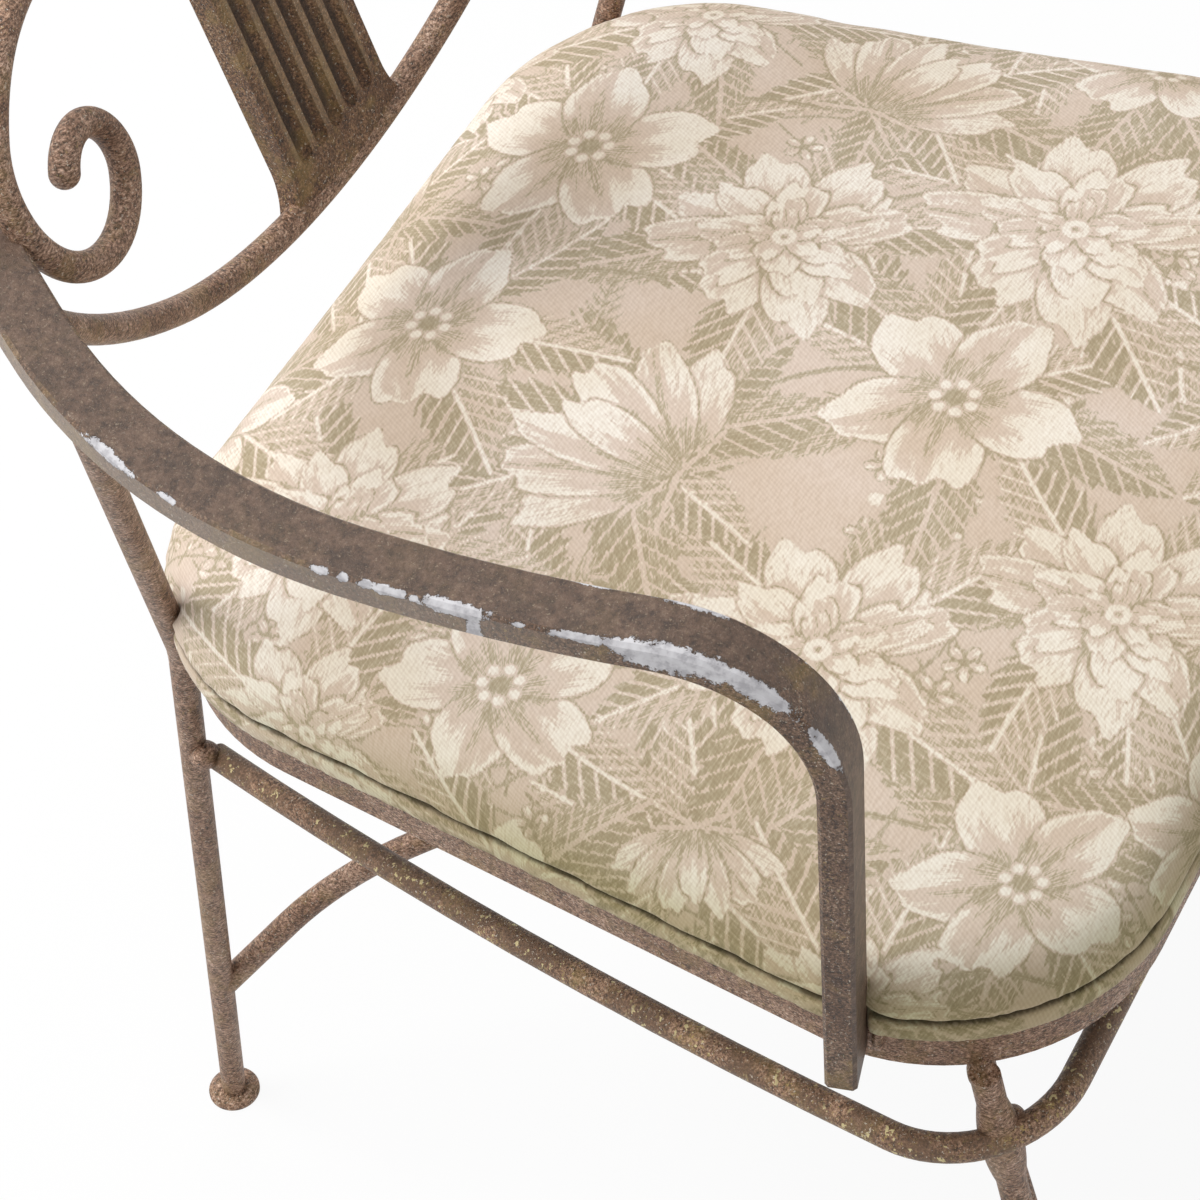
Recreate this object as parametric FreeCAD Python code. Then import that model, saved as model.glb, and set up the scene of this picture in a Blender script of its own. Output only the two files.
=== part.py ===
"""Wrought garden armchair with a horseshoe arm rail, volute back and slip seat.

Millimetres. +X is the sitter's left-to-right axis seen from the front, the front
faces -Y and +Z is up. The origin is on the ground in the middle of the footprint.
"""
import FreeCAD, Part
import math
import os

V = FreeCAD.Vector

# Stock sizes
BAR_D = 12.0                # round bar of legs, lower rail, back rail, scrolls, stretchers
FLAT_W = 24.0               # arm and crest bar, width seen from above
FLAT_T = 12.5               # arm and crest bar, thickness
FLAT_EDGE = 1.5             # chamfer along the arm and crest bar

# Seat ring, a flat bar on edge bent to a rounded trapezoid
RING_H = 20.0
RING_T = 5.0
RING_FRONT_HALF = 273.0     # half width of the sharp outline at the front
RING_REAR_HALF = 215.0      # half width of the sharp outline at the rear
RING_FRONT_Y = -208.0
RING_REAR_Y = 241.0
RING_FRONT_R = 90.0
RING_REAR_R = 103.0
RING_BOTTOM_Z = 402.0       # underside of the ring on the line y = 0
SEAT_TILT = 2.52            # degrees, front higher

# Slip seat
BOARD_T = 11.5
BOARD_OUTSET = -3.5         # board edge to the ring's outer face
BAND_OUTSET = 5.5           # fabric band beyond the ring
COVER_T = 0.6               # dust cover
COVER_GAP = 1.0             # dust cover to the ring
PAD_SEAM_IN = 1.2           # cushion drawn in at the seam above the band
PAD_BULGE = 1.3             # cushion beyond the band at its widest
PAD_EDGE_H = 22.0           # rounded cushion edge above the seam
PAD_CROWN_H = 39.0          # middle of the cushion above the seam
SOFT_GAP = 0.3              # cushion to the metal beside it

# Screw tabs and screws
TAB_W = 24.0
TAB_L = 26.0
TAB_T = 3.0
TAB_HOLE_D = 5.5
SCREW_D = 4.2
SCREW_HEAD_D = 8.6
SCREW_HEAD_H = 2.6
SCREW_BITE = 8.0            # screw length inside the board
PILOT_CLEARANCE = 0.1

# Front legs, axis points of the left one
FRONT_TOP = V(-250.5, -169.0, 411.0)
FRONT_FOOT = V(-250.5, -247.4, 0.0)
SWELL_D = 17.0              # forged swell where the hoop crosses
SWELL_HALF = 23.0
SWELL_Z = 370.0

# Rear legs, axis points of the left one
REAR_FOOT = V(-161.0, 274.0, 0.0)
REAR_KNEE = V(-182.6, 228.2, 388.0)
REAR_BEND_R = 60.0
REAR_TOP_RUN = 248.3        # front bend to the leg's top, measured along the arm

# Foot discs
FOOT_D = 25.5
FOOT_H = 4.0
FOOT_RIM = 1.5
FOOT_FLAT_D = 13.6

# Lower rail hoop, measured in its own plane
HOOP_Z = 347.0
HOOP_DROP = 0.165            # fall towards the rear
HOOP_FRONT = -196.2
HOOP_HALF = 267.3
HOOP_CORNER_R = 48.5
HOOP_SIDE_R = 2856.0
HOOP_END = (-176.2, 230.0)

# Arm rail of the left side, top face centreline
ARM_START = V(-287.6, -62.6, 656.7)   # where the front bend begins
ARM_HEADING = -14.5         # degrees from +Y, outwards
ARM_RISE = 0.0555           # slope of the top face towards the rear
ARM_ARCS = ((629.5, 106.4), (228.6, 151.0), (600.0, 60.0))
ARM_BEND_R = 72.0
POST_BOTTOM_Z = 416.5

# Crest rail
CREST_TOP_Z = 865.0
CREST_STATIONS = 9

# Lower back rail, measured in its own leaning plane
RAIL_Y = 237.1
RAIL_Z = 508.35
RAIL_LEAN = 10.8            # degrees, towards the front
RAIL_ARCS = ((255.0, 34.0), (398.0, 55.3))
RAIL_SPARE = 8.0            # bar left over before it is cut to the arm

# Splat
SPLAT_RAKE = 17.2           # degrees, top towards the rear
SPLAT_HALF = 38.0
SPLAT_FLARE = 9.5
SPLAT_FLARE_H = 24.0
SPLAT_T = 11.0
GROOVES = 5
GROOVE_PITCH = 12.6
GROOVE_D = 9.2
GROOVE_DEPTH = 3.4
GROOVE_END = 20.0           # rail axis to the round end of a groove
GROOVE_TOP_END = 26.0       # crest top to the round end of a groove

# Scrolls, drawn in a leaning plane through a point beside the arm
SCROLL_ORIGIN = V(-226.0, 220.4, 668.0)
SCROLL_TURN = 12.85         # degrees, plane turned about the vertical
SCROLL_RAKE = 25.0
SCROLL_TIP = (35.85, -1.42)
SCROLL_HEADING = 38.9
SCROLL_ARCS = ((23.9, 20.45), (17.06, 37.5), (38.2, 124.6), (106.6, 70.5))
SCROLL_RISE_R = 60.0
SCROLL_TOP_X = -52.0        # where the straight run meets the crest

# Stretchers, from a rear leg to the front leg of the other side
STRETCH_Z = 103.0           # height where they meet the legs
STRETCH_RISE = 45.0         # degrees, rise beside a leg
STRETCH_KNEE = 66.0         # plan length of that rise, up to its corner point
STRETCH_CREST = 12.0        # degrees, rise from there to the crossing
STRETCH_REAR_TURN = 49.0    # degrees from the X axis, plan heading at a rear leg
STRETCH_FRONT_TURN = 40.0   # degrees from the X axis, plan heading at a front leg
STRETCH_CROSS = 25.0        # half of the steeper middle run, measured along X
STRETCH_R = 150.0           # bend over a knee
STRETCH_SWEEP_R = 240.0     # bend before and after the crossing
COPE_GAP = 0.2              # coped end of a half bar to the bar that runs through

BLOCK = 8.0 * RING_REAR_HALF   # side of the blocks that trim bars

RAD = math.pi / 180.0
CENTRE = V(0, 0, 0)
UP = V(0, 0, 1)
X_AXIS = V(1, 0, 0)


class Turtle:
    """Plane path of tangent lines and arcs, placed by an origin and two axes."""

    def __init__(self, start, heading, origin=CENTRE, e1=X_AXIS, e2=V(0, 1, 0)):
        self.p = start
        self.h = heading * RAD
        self.frame = (origin, e1, e2)
        self.edges = []

    def at(self, p):
        o, e1, e2 = self.frame
        return o + e1 * p[0] + e2 * p[1]

    def line(self, length):
        q = (self.p[0] + length * math.cos(self.h), self.p[1] + length * math.sin(self.h))
        self.edges.append(Part.LineSegment(self.at(self.p), self.at(q)).toShape())
        self.p = q
        return self

    def arc(self, radius, degrees):
        """Turn left for positive degrees, right for negative ones."""
        pts = [self.p]
        sign = 1.0 if degrees > 0 else -1.0
        cx = self.p[0] - sign * radius * math.sin(self.h)
        cy = self.p[1] + sign * radius * math.cos(self.h)
        for share in (0.5, 1.0):
            h = self.h + degrees * RAD * share
            pts.append((cx + sign * radius * math.sin(h), cy - sign * radius * math.cos(h)))
        self.edges.append(Part.Arc(*[self.at(p) for p in pts]).toShape())
        self.p = pts[2]
        self.h += degrees * RAD
        return self

    def wire(self):
        return Part.Wire(self.edges)

    def direction(self):
        return self.frame[1] * math.cos(self.h) + self.frame[2] * math.sin(self.h)

    def point(self):
        return self.at(self.p)


def round_bar(wire, diameter=BAR_D):
    """Round bar along a wire of tangent lines and arcs."""
    first = wire.OrderedEdges[0]
    start = first.valueAt(first.FirstParameter)
    along = first.tangentAt(first.FirstParameter)
    if (wire.OrderedVertexes[0].Point - start).Length > 1e-6:
        start = first.valueAt(first.LastParameter)
        along = first.tangentAt(first.LastParameter) * -1
    circle = Part.Wire(Part.Circle(start, along, diameter / 2.0).toShape())
    return wire.makePipeShell([circle], True, False)


def straight_bar(a, b, diameter=BAR_D):
    return Part.makeCylinder(diameter / 2.0, (b - a).Length, a, b - a)


def mirrored(shape):
    return shape.mirror(CENTRE, X_AXIS)


def largest(shape):
    """The main solid of a cut bar, without the offcut beyond the weld."""
    return max(shape.Solids, key=lambda s: s.Volume)


def below(z):
    return Part.makeBox(BLOCK, BLOCK, BLOCK, V(-BLOCK / 2.0, -BLOCK / 2.0, z - BLOCK))


def line_at(a, b, z):
    return a + (b - a) * ((z - a.z) / (b.z - a.z))


def seat_outline(offset, z=0.0, scale=1.0):
    """Rounded trapezoid of the seat, offset outwards, in the seat's own plane."""
    k = (RING_FRONT_HALF - RING_REAR_HALF) / (RING_REAR_Y - RING_FRONT_Y)
    grow = offset * math.hypot(1.0, k)
    yf = RING_FRONT_Y - offset
    yr = RING_REAR_Y + offset
    wf = RING_FRONT_HALF - k * (yf - RING_FRONT_Y) + grow
    wr = RING_FRONT_HALF - k * (yr - RING_FRONT_Y) + grow
    corners = [(-wf, yf), (wf, yf), (wr, yr), (-wr, yr)]
    radii = [RING_FRONT_R + offset] * 2 + [RING_REAR_R + offset] * 2
    middle = (RING_FRONT_Y + RING_REAR_Y) / 2.0
    spots = []
    for i, (p, r) in enumerate(zip(corners, radii)):
        p = V(p[0], p[1], z)
        a = V(corners[i - 1][0], corners[i - 1][1], z) - p
        b = V(corners[(i + 1) % 4][0], corners[(i + 1) % 4][1], z) - p
        a.normalize()
        b.normalize()
        half = a.getAngle(b) / 2.0
        bis = a + b
        bis.normalize()
        c = p + bis * (r / math.sin(half))
        reach = r / math.tan(half)
        spots.append((p + a * reach, c - bis * r, p + b * reach))
    if scale != 1.0:
        spots = [[V(q.x * scale, middle + (q.y - middle) * scale, z) for q in s] for s in spots]
    edges = []
    for i, s in enumerate(spots):
        edges.append(Part.Arc(*s).toShape())
        edges.append(Part.LineSegment(s[2], spots[(i + 1) % 4][0]).toShape())
    return Part.Wire(edges)


def plate(wire, height):
    return Part.Face(wire).extrude(V(0, 0, height))


def seat_placed(shape):
    """Put a shape from the seat's plane, 0 at the ring's top, on the tilted ring."""
    out = shape.copy()
    turn = FreeCAD.Rotation(X_AXIS, -SEAT_TILT)
    base = V(0, 0, RING_BOTTOM_Z) + turn.multVec(V(0, 0, RING_H))
    out.Placement = FreeCAD.Placement(base, turn)
    return out


def make_ring():
    outer = plate(seat_outline(0.0, -RING_H), RING_H)
    return seat_placed(outer.cut(plate(seat_outline(-RING_T, -RING_H), RING_H)))


def tab_frames():
    """Corner bisector frames of the four screw tabs in the seat's plane."""
    k = (RING_FRONT_HALF - RING_REAR_HALF) / (RING_REAR_Y - RING_FRONT_Y)
    slope = math.atan(k)
    frames = []
    for side in (-1, 1):
        for y, wide, r, tilt in (
            (RING_FRONT_Y, RING_FRONT_HALF, RING_FRONT_R, -slope),
            (RING_REAR_Y, RING_REAR_HALF, RING_REAR_R, slope),
        ):
            inwards = 1 if y < 0 else -1
            half = (90.0 * RAD + tilt) / 2.0
            lean = half if inwards > 0 else -half
            away = V(side * math.cos(lean), -math.sin(lean), 0)
            centre = V(side * wide, y, 0) - away * (r / math.sin(half))
            frames.append((centre, away, r))
    return frames


def make_tabs():
    """Screw tabs welded in the corners, with their holes, and the hole centres."""
    inside = plate(seat_outline(-RING_T, -RING_H), RING_H)
    tabs = []
    holes = []
    for centre, away, r in tab_frames():
        across = V(-away.y, away.x, 0)
        start = centre + away * (r - RING_T - TAB_L) - across * (TAB_W / 2.0)
        start.z = -COVER_T - TAB_T
        corner = [start, start + away * (TAB_L + RING_T)]
        corner += [corner[1] + across * TAB_W, start + across * TAB_W, start]
        tab = plate(Part.makePolygon(corner), TAB_T).common(inside)
        spot = centre + away * (r - RING_T - TAB_L * 0.55)
        spot.z = start.z
        holes.append(spot)
        tabs.append(tab.cut(Part.makeCylinder(TAB_HOLE_D / 2.0, TAB_T, spot)))
    return tabs, holes


def make_screws(holes):
    screws = []
    for spot in holes:
        profile = Part.makePolygon([
            V(0, 0, -SCREW_HEAD_H), V(SCREW_HEAD_D * 0.30, 0, -SCREW_HEAD_H),
            V(SCREW_HEAD_D / 2.0, 0, -SCREW_HEAD_H * 0.35), V(SCREW_HEAD_D / 2.0, 0, 0),
            V(SCREW_D / 2.0, 0, 0), V(SCREW_D / 2.0, 0, TAB_T + COVER_T + SCREW_BITE * 0.7),
            V(0, 0, TAB_T + COVER_T + SCREW_BITE), V(0, 0, -SCREW_HEAD_H)])
        screw = Part.Face(profile).revolve(CENTRE, UP, 360)
        screw.translate(spot)
        screws.append(screw)
    return screws


def make_cushion(notches):
    """Soft top: drawn in at the seam, round edge and a low crown."""
    edge = []
    for share, inset in (
        (0.0, PAD_SEAM_IN + PAD_BULGE), (0.12, PAD_BULGE * 0.5), (0.25, 0.0),
        (0.45, PAD_BULGE * 0.25), (0.65, 2.6), (0.82, 6.0), (0.94, 10.5), (1.0, 16.0),
    ):
        edge.append((BAND_OUTSET + PAD_BULGE - inset, BOARD_T + share * PAD_EDGE_H))
    wires = [seat_outline(offset, z) for offset, z in edge]
    inner, shoulder = edge[-1]
    climb = PAD_CROWN_H + BOARD_T - shoulder
    for share in (0.94, 0.86, 0.76, 0.64, 0.5, 0.34, 0.18):
        lift = climb * (1.0 - share ** 2.2)
        wires.append(seat_outline(inner, shoulder + lift, share))
    pad = Part.makeLoft(wires, True, True)
    return seat_placed(pad).cut(notches)


def make_front_leg():
    """Straight leg with its forged swell, cut to the ring and the foot disc."""
    axis = FRONT_TOP - FRONT_FOOT
    length = axis.Length
    r = BAR_D / 2.0
    knot = length * SWELL_Z / FRONT_TOP.z
    spare = 20.0
    edges = [
        Part.LineSegment(V(0, 0, -spare), V(r, 0, -spare)).toShape(),
        Part.LineSegment(V(r, 0, -spare), V(r, 0, knot - SWELL_HALF)).toShape(),
        Part.Arc(V(r, 0, knot - SWELL_HALF), V(SWELL_D / 2.0, 0, knot),
                 V(r, 0, knot + SWELL_HALF)).toShape(),
        Part.LineSegment(V(r, 0, knot + SWELL_HALF), V(r, 0, length + spare)).toShape(),
        Part.LineSegment(V(r, 0, length + spare), V(0, 0, length + spare)).toShape(),
        Part.LineSegment(V(0, 0, length + spare), V(0, 0, -spare)).toShape(),
    ]
    leg = Part.Face(Part.Wire(edges)).revolve(CENTRE, UP, 360)
    leg.Placement = FreeCAD.Placement(FRONT_FOOT, FreeCAD.Rotation(UP, axis))
    above = seat_placed(Part.makeBox(BLOCK, BLOCK, BLOCK, V(-BLOCK / 2.0, -BLOCK / 2.0, -RING_H)))
    return leg.cut(below(FOOT_H)).cut(above)


def make_foot(spot):
    r = FOOT_D / 2.0
    flat = FOOT_FLAT_D / 2.0
    mid = V((r + flat) / 2.0 + 0.9, 0, (FOOT_RIM + FOOT_H) / 2.0 + 0.45)
    edges = [
        Part.LineSegment(V(0, 0, 0), V(r, 0, 0)).toShape(),
        Part.LineSegment(V(r, 0, 0), V(r, 0, FOOT_RIM)).toShape(),
        Part.Arc(V(r, 0, FOOT_RIM), mid, V(flat, 0, FOOT_H)).toShape(),
        Part.LineSegment(V(flat, 0, FOOT_H), V(0, 0, FOOT_H)).toShape(),
        Part.LineSegment(V(0, 0, FOOT_H), V(0, 0, 0)).toShape(),
    ]
    foot = Part.Face(Part.Wire(edges)).revolve(CENTRE, UP, 360)
    foot.translate(V(spot.x, spot.y, 0))
    return foot


def bent_bar(a, corner, b, radius):
    """Bar of two straight runs with one bend between them."""
    one = corner - a
    two = b - corner
    half = one.getAngle(two) / 2.0
    one.normalize()
    two.normalize()
    reach = radius * math.tan(half)
    inward = two - one
    inward.normalize()
    p = corner - one * reach
    q = corner + two * reach
    m = corner + inward * (radius / math.cos(half) - radius)
    return round_bar(Part.Wire([
        Part.LineSegment(a, p).toShape(), Part.Arc(p, m, q).toShape(),
        Part.LineSegment(q, b).toShape()]))


def make_hoop():
    """Wide open hoop of round bar in its own falling plane."""
    fall = math.atan(HOOP_DROP)
    e2 = V(0, math.cos(fall), -math.sin(fall))
    centre = (-(HOOP_HALF - HOOP_CORNER_R), HOOP_FRONT + HOOP_CORNER_R)
    gap = (HOOP_END[0] - centre[0], HOOP_END[1] - centre[1])
    dist = math.hypot(*gap)
    near = HOOP_SIDE_R - HOOP_CORNER_R
    along = (near ** 2 - HOOP_SIDE_R ** 2 + dist ** 2) / (2.0 * dist)
    aside = math.sqrt(near ** 2 - along ** 2)
    ux, uy = gap[0] / dist, gap[1] / dist
    big = (centre[0] + ux * along + uy * aside, centre[1] + uy * along - ux * aside)
    first = math.atan2(HOOP_END[1] - big[1], HOOP_END[0] - big[0]) / RAD
    touch = math.atan2(centre[1] - big[1], centre[0] - big[0]) / RAD
    sweep = (touch - first) % 360.0
    t = Turtle(HOOP_END, first + 90.0, V(0, 0, HOOP_Z), X_AXIS, e2)
    t.arc(HOOP_SIDE_R, sweep)
    corner = (-90.0 - touch) % 360.0
    t.arc(HOOP_CORNER_R, corner)
    t.line(-2.0 * centre[0])
    t.arc(HOOP_CORNER_R, corner)
    t.arc(HOOP_SIDE_R, sweep)
    return round_bar(t.wire())


def arm_frame():
    """Axes of the arm's top face at the start of its front bend."""
    h = ARM_HEADING * RAD
    e1 = V(math.cos(h), -math.sin(h), 0)
    e2 = V(math.sin(h), math.cos(h), ARM_RISE)
    e2.normalize()
    return e1, e2, e1.cross(e2)


def arm_station(run):
    """Point, inward and forward axes of the top face at a length along the arm."""
    e1, e2, e3 = arm_frame()
    x, y, turn = 0.0, 0.0, 0.0
    for radius, length in ARM_ARCS:
        part = min(run, length)
        angle = part / radius
        x += radius * (math.cos(turn) - math.cos(turn + angle))
        y += radius * (math.sin(turn + angle) - math.sin(turn))
        turn += angle
        run -= part
        if run <= 0:
            break
    point = ARM_START + e1 * x + e2 * y
    inward = e1 * math.cos(turn) - e2 * math.sin(turn)
    along = e1 * math.sin(turn) + e2 * math.cos(turn)
    return point, inward, along, e3


def flat_section(point, inward, down, width=FLAT_W, thick=FLAT_T, edge=FLAT_EDGE):
    """Chamfered section of the flat bar, its top face's middle at the point."""
    a = width / 2.0
    pts = []
    for u, w in (
        (-a + edge, 0), (a - edge, 0), (a, edge), (a, thick - edge),
        (a - edge, thick), (-a + edge, thick), (-a, thick - edge), (-a, edge),
    ):
        pts.append(point + inward * u + down * w)
    return Part.makePolygon(pts + [pts[0]])


def make_arm(ring_full):
    """Left arm: three arcs on top, the front bend and the post."""
    e1, e2, e3 = arm_frame()
    down = e3 * -1
    edges = []
    run = 0.0
    for radius, length in ARM_ARCS:
        pts = [arm_station(run + length * share)[0] for share in (0.0, 0.5, 1.0)]
        edges.append(Part.Arc(*pts).toShape())
        run += length
    start = flat_section(ARM_START, e1, down)
    top = Part.Wire(edges).makePipeShell([start], True, True)
    pivot = ARM_START - e3 * ARM_BEND_R
    bend_angle = 90.0 - math.asin(e2.z) / RAD
    bend = Part.Face(start).revolve(pivot, e1, bend_angle)
    lowered = FreeCAD.Rotation(e1, bend_angle)
    end = pivot + lowered.multVec(e3 * ARM_BEND_R)
    back = lowered.multVec(down)
    post = Part.Face(flat_section(end, e1, back)).extrude(V(0, 0, POST_BOTTOM_Z - end.z))
    arm = top.fuse([bend, post]).removeSplitter()
    return arm.cut(ring_full)


class Crest:
    """Left half of the crest: the arm's section carried round the back and up."""

    def __init__(self):
        run = sum(length for _, length in ARM_ARCS)
        self.joint, self.inward0, along, _ = arm_station(run)
        flat = V(along.x, along.y, 0)
        self.grade0 = along.z / flat.Length
        flat.normalize()
        self.radius = -self.joint.x / flat.y
        self.middle_y = self.joint.y - self.radius * flat.x
        self.start = math.atan2(-self.joint.x, self.joint.y - self.middle_y)
        self.length = self.radius * self.start
        self.rise = CREST_TOP_Z - self.joint.z

    def station(self, t):
        """Top face point, forward and inward axes at a share of the half's length."""
        phi = self.start * (1.0 - t)
        climb = 3 * t * t - 2 * t ** 3
        z = self.joint.z + self.rise * climb
        z += self.grade0 * self.length * (t - 2 * t * t + t ** 3)
        grade = self.rise * 6 * t * (1 - t) / self.length
        grade += self.grade0 * (1 - 4 * t + 3 * t * t)
        point = V(-self.radius * math.sin(phi), self.middle_y + self.radius * math.cos(phi), z)
        along = V(math.cos(phi), math.sin(phi), grade)
        along.normalize()
        inward = V(math.sin(phi), -math.cos(phi), self.inward0.z * (1.0 - climb))
        inward = inward - along * inward.dot(along)
        inward.normalize()
        return point, along, inward

    def top_at(self, x):
        """Point of the top face's middle line at a distance x left of the centre."""
        phi = math.asin(-x / self.radius)
        return self.station(1.0 - phi / self.start)[0]

    def solid(self):
        wires = []
        for i in range(CREST_STATIONS):
            point, along, inward = self.station(i / (CREST_STATIONS - 1.0))
            wires.append(flat_section(point, inward, along.cross(inward)))
        half = Part.makeLoft(wires, True, False)
        return half.fuse(mirrored(half)).removeSplitter()

    def rear(self):
        return self.middle_y + self.radius + FLAT_W / 2.0


def make_back_rail():
    lean = RAIL_LEAN * RAD
    e2 = V(0, -math.sin(lean), math.cos(lean))
    (r1, a1), (r2, a2) = RAIL_ARCS
    half_x = r1 * math.sin(a1 * RAD) + r2 * (math.sin(a2 * RAD) - math.sin(a1 * RAD))
    half_z = r1 * (1 - math.cos(a1 * RAD)) + r2 * (math.cos(a1 * RAD) - math.cos(a2 * RAD))
    start_x = -half_x - RAIL_SPARE * math.cos(a2 * RAD)
    start_z = half_z + RAIL_SPARE * math.sin(a2 * RAD)
    t = Turtle((start_x, start_z), -a2, V(0, RAIL_Y, RAIL_Z), X_AXIS, e2)
    t.line(RAIL_SPARE).arc(r2, a2 - a1).arc(r1, 2 * a1).arc(r2, a2 - a1).line(RAIL_SPARE)
    return round_bar(t.wire())


def splat_axes():
    rake = SPLAT_RAKE * RAD
    up = V(0, math.sin(rake), math.cos(rake))
    out = V(0, math.cos(rake), -math.sin(rake))
    return up, out


def make_splat(rail, crest):
    """Reeded splat: panel with flared ends and round-ended grooves in front."""
    up, out = splat_axes()
    base = V(0, RAIL_Y, RAIL_Z)
    height = (CREST_TOP_Z - FLAT_T / 2.0 - RAIL_Z) / up.z

    def at(u, w):
        return base + X_AXIS * u + up * w - out * (SPLAT_T / 2.0)

    def side(sign):
        low = Part.Arc(at(sign * (SPLAT_HALF + SPLAT_FLARE), 0),
                       at(sign * (SPLAT_HALF + SPLAT_FLARE * 0.22), SPLAT_FLARE_H * 0.5),
                       at(sign * SPLAT_HALF, SPLAT_FLARE_H)).toShape()
        mid = Part.LineSegment(at(sign * SPLAT_HALF, SPLAT_FLARE_H),
                               at(sign * SPLAT_HALF, height - SPLAT_FLARE_H)).toShape()
        high = Part.Arc(at(sign * SPLAT_HALF, height - SPLAT_FLARE_H),
                        at(sign * (SPLAT_HALF + SPLAT_FLARE * 0.22), height - SPLAT_FLARE_H * 0.5),
                        at(sign * (SPLAT_HALF + SPLAT_FLARE), height)).toShape()
        return [low, mid, high]

    wide = SPLAT_HALF + SPLAT_FLARE
    edges = side(1)
    edges.append(Part.LineSegment(at(wide, height), at(-wide, height)).toShape())
    edges += reversed(side(-1))
    edges.append(Part.LineSegment(at(-wide, 0), at(wide, 0)).toShape())
    panel = Part.Face(Part.Wire(Part.__sortEdges__(edges))).extrude(out * SPLAT_T)
    r = GROOVE_D / 2.0
    top = height - GROOVE_TOP_END
    for i in range(GROOVES):
        u = (i - (GROOVES - 1) / 2.0) * GROOVE_PITCH
        a = at(u, GROOVE_END + r) + out * (GROOVE_DEPTH - r)
        b = at(u, top - r) + out * (GROOVE_DEPTH - r)
        cutter = Part.makeCylinder(r, (b - a).Length, a, up)
        cutter = cutter.fuse([Part.makeSphere(r, a), Part.makeSphere(r, b)])
        panel = panel.cut(cutter)
    return largest(panel.cut(rail).cut(crest))


def make_scroll(arm, crest, crest_line):
    """Left volute: curl beside the lower rail, then up to the crest."""
    turn = SCROLL_TURN * RAD
    rake = SCROLL_RAKE * RAD
    e1 = V(math.cos(turn), math.sin(turn), 0)
    e2 = V(-math.sin(turn) * math.sin(rake), math.cos(turn) * math.sin(rake), math.cos(rake))
    shallow, steep = 10.0, 90.0
    for _ in range(24):
        heading = (shallow + steep) / 2.0
        t = Turtle(SCROLL_TIP, SCROLL_HEADING, SCROLL_ORIGIN, e1, e2)
        for radius, length in SCROLL_ARCS:
            t.arc(radius, -length / radius / RAD)
        t.arc(SCROLL_RISE_R, heading - (t.h / RAD + 360.0))
        reach = 0.0
        for _ in range(20):
            ahead = t.point() + t.direction() * reach
            reach += (crest_line.top_at(ahead.x).z - FLAT_T * 0.6 - ahead.z) * 0.6
        if ahead.x > SCROLL_TOP_X:
            shallow = heading
        else:
            steep = heading
    t.line(reach)
    bar = round_bar(t.wire())
    tip = Part.makeSphere(BAR_D / 2.0, t.at(SCROLL_TIP))
    bar = bar.fuse(tip).removeSplitter()
    return largest(bar.cut(arm).cut(crest))


def filleted_bar(corners, radii, diameter):
    """Bar of straight runs in space with a bend at each inner corner."""
    edges = []
    start = corners[0]
    for i, radius in enumerate(radii):
        here = corners[i + 1]
        one = here - corners[i]
        two = corners[i + 2] - here
        half = one.getAngle(two) / 2.0
        one.normalize()
        two.normalize()
        reach = radius * math.tan(half)
        inward = two - one
        inward.normalize()
        p = here - one * reach
        q = here + two * reach
        m = here + inward * (radius / math.cos(half) - radius)
        edges.append(Part.LineSegment(start, p).toShape())
        edges.append(Part.Arc(p, m, q).toShape())
        start = q
    edges.append(Part.LineSegment(start, corners[-1]).toShape())
    return round_bar(Part.Wire(edges), diameter)


def make_stretcher(rear, front, diameter=BAR_D):
    """Arched bar that rises from both legs and sweeps together with its twin."""
    rear_turn = STRETCH_REAR_TURN * RAD
    front_turn = STRETCH_FRONT_TURN * RAD
    rear_out = V(math.cos(rear_turn), -math.sin(rear_turn), 0)
    front_out = V(-math.cos(front_turn), math.sin(front_turn), 0)
    lift = STRETCH_KNEE * math.tan(STRETCH_RISE * RAD)
    steep = math.tan(STRETCH_CREST * RAD)
    corners = [rear]
    middle = []
    for hold, out, x in ((rear, rear_out, -STRETCH_CROSS), (front, front_out, STRETCH_CROSS)):
        run = (x - hold.x) / out.x
        knee = hold + out * STRETCH_KNEE + UP * lift
        top = hold + out * run + UP * (lift + (run - STRETCH_KNEE) * steep)
        middle.append((knee, top))
    level = (middle[0][1].z + middle[1][1].z) / 2.0
    for _, top in middle:
        top.z = level
    corners += [middle[0][0], middle[0][1], middle[1][1], middle[1][0], front]
    radii = (STRETCH_R, STRETCH_SWEEP_R, STRETCH_SWEEP_R, STRETCH_R)
    return filleted_bar(corners, radii, diameter)


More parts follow.
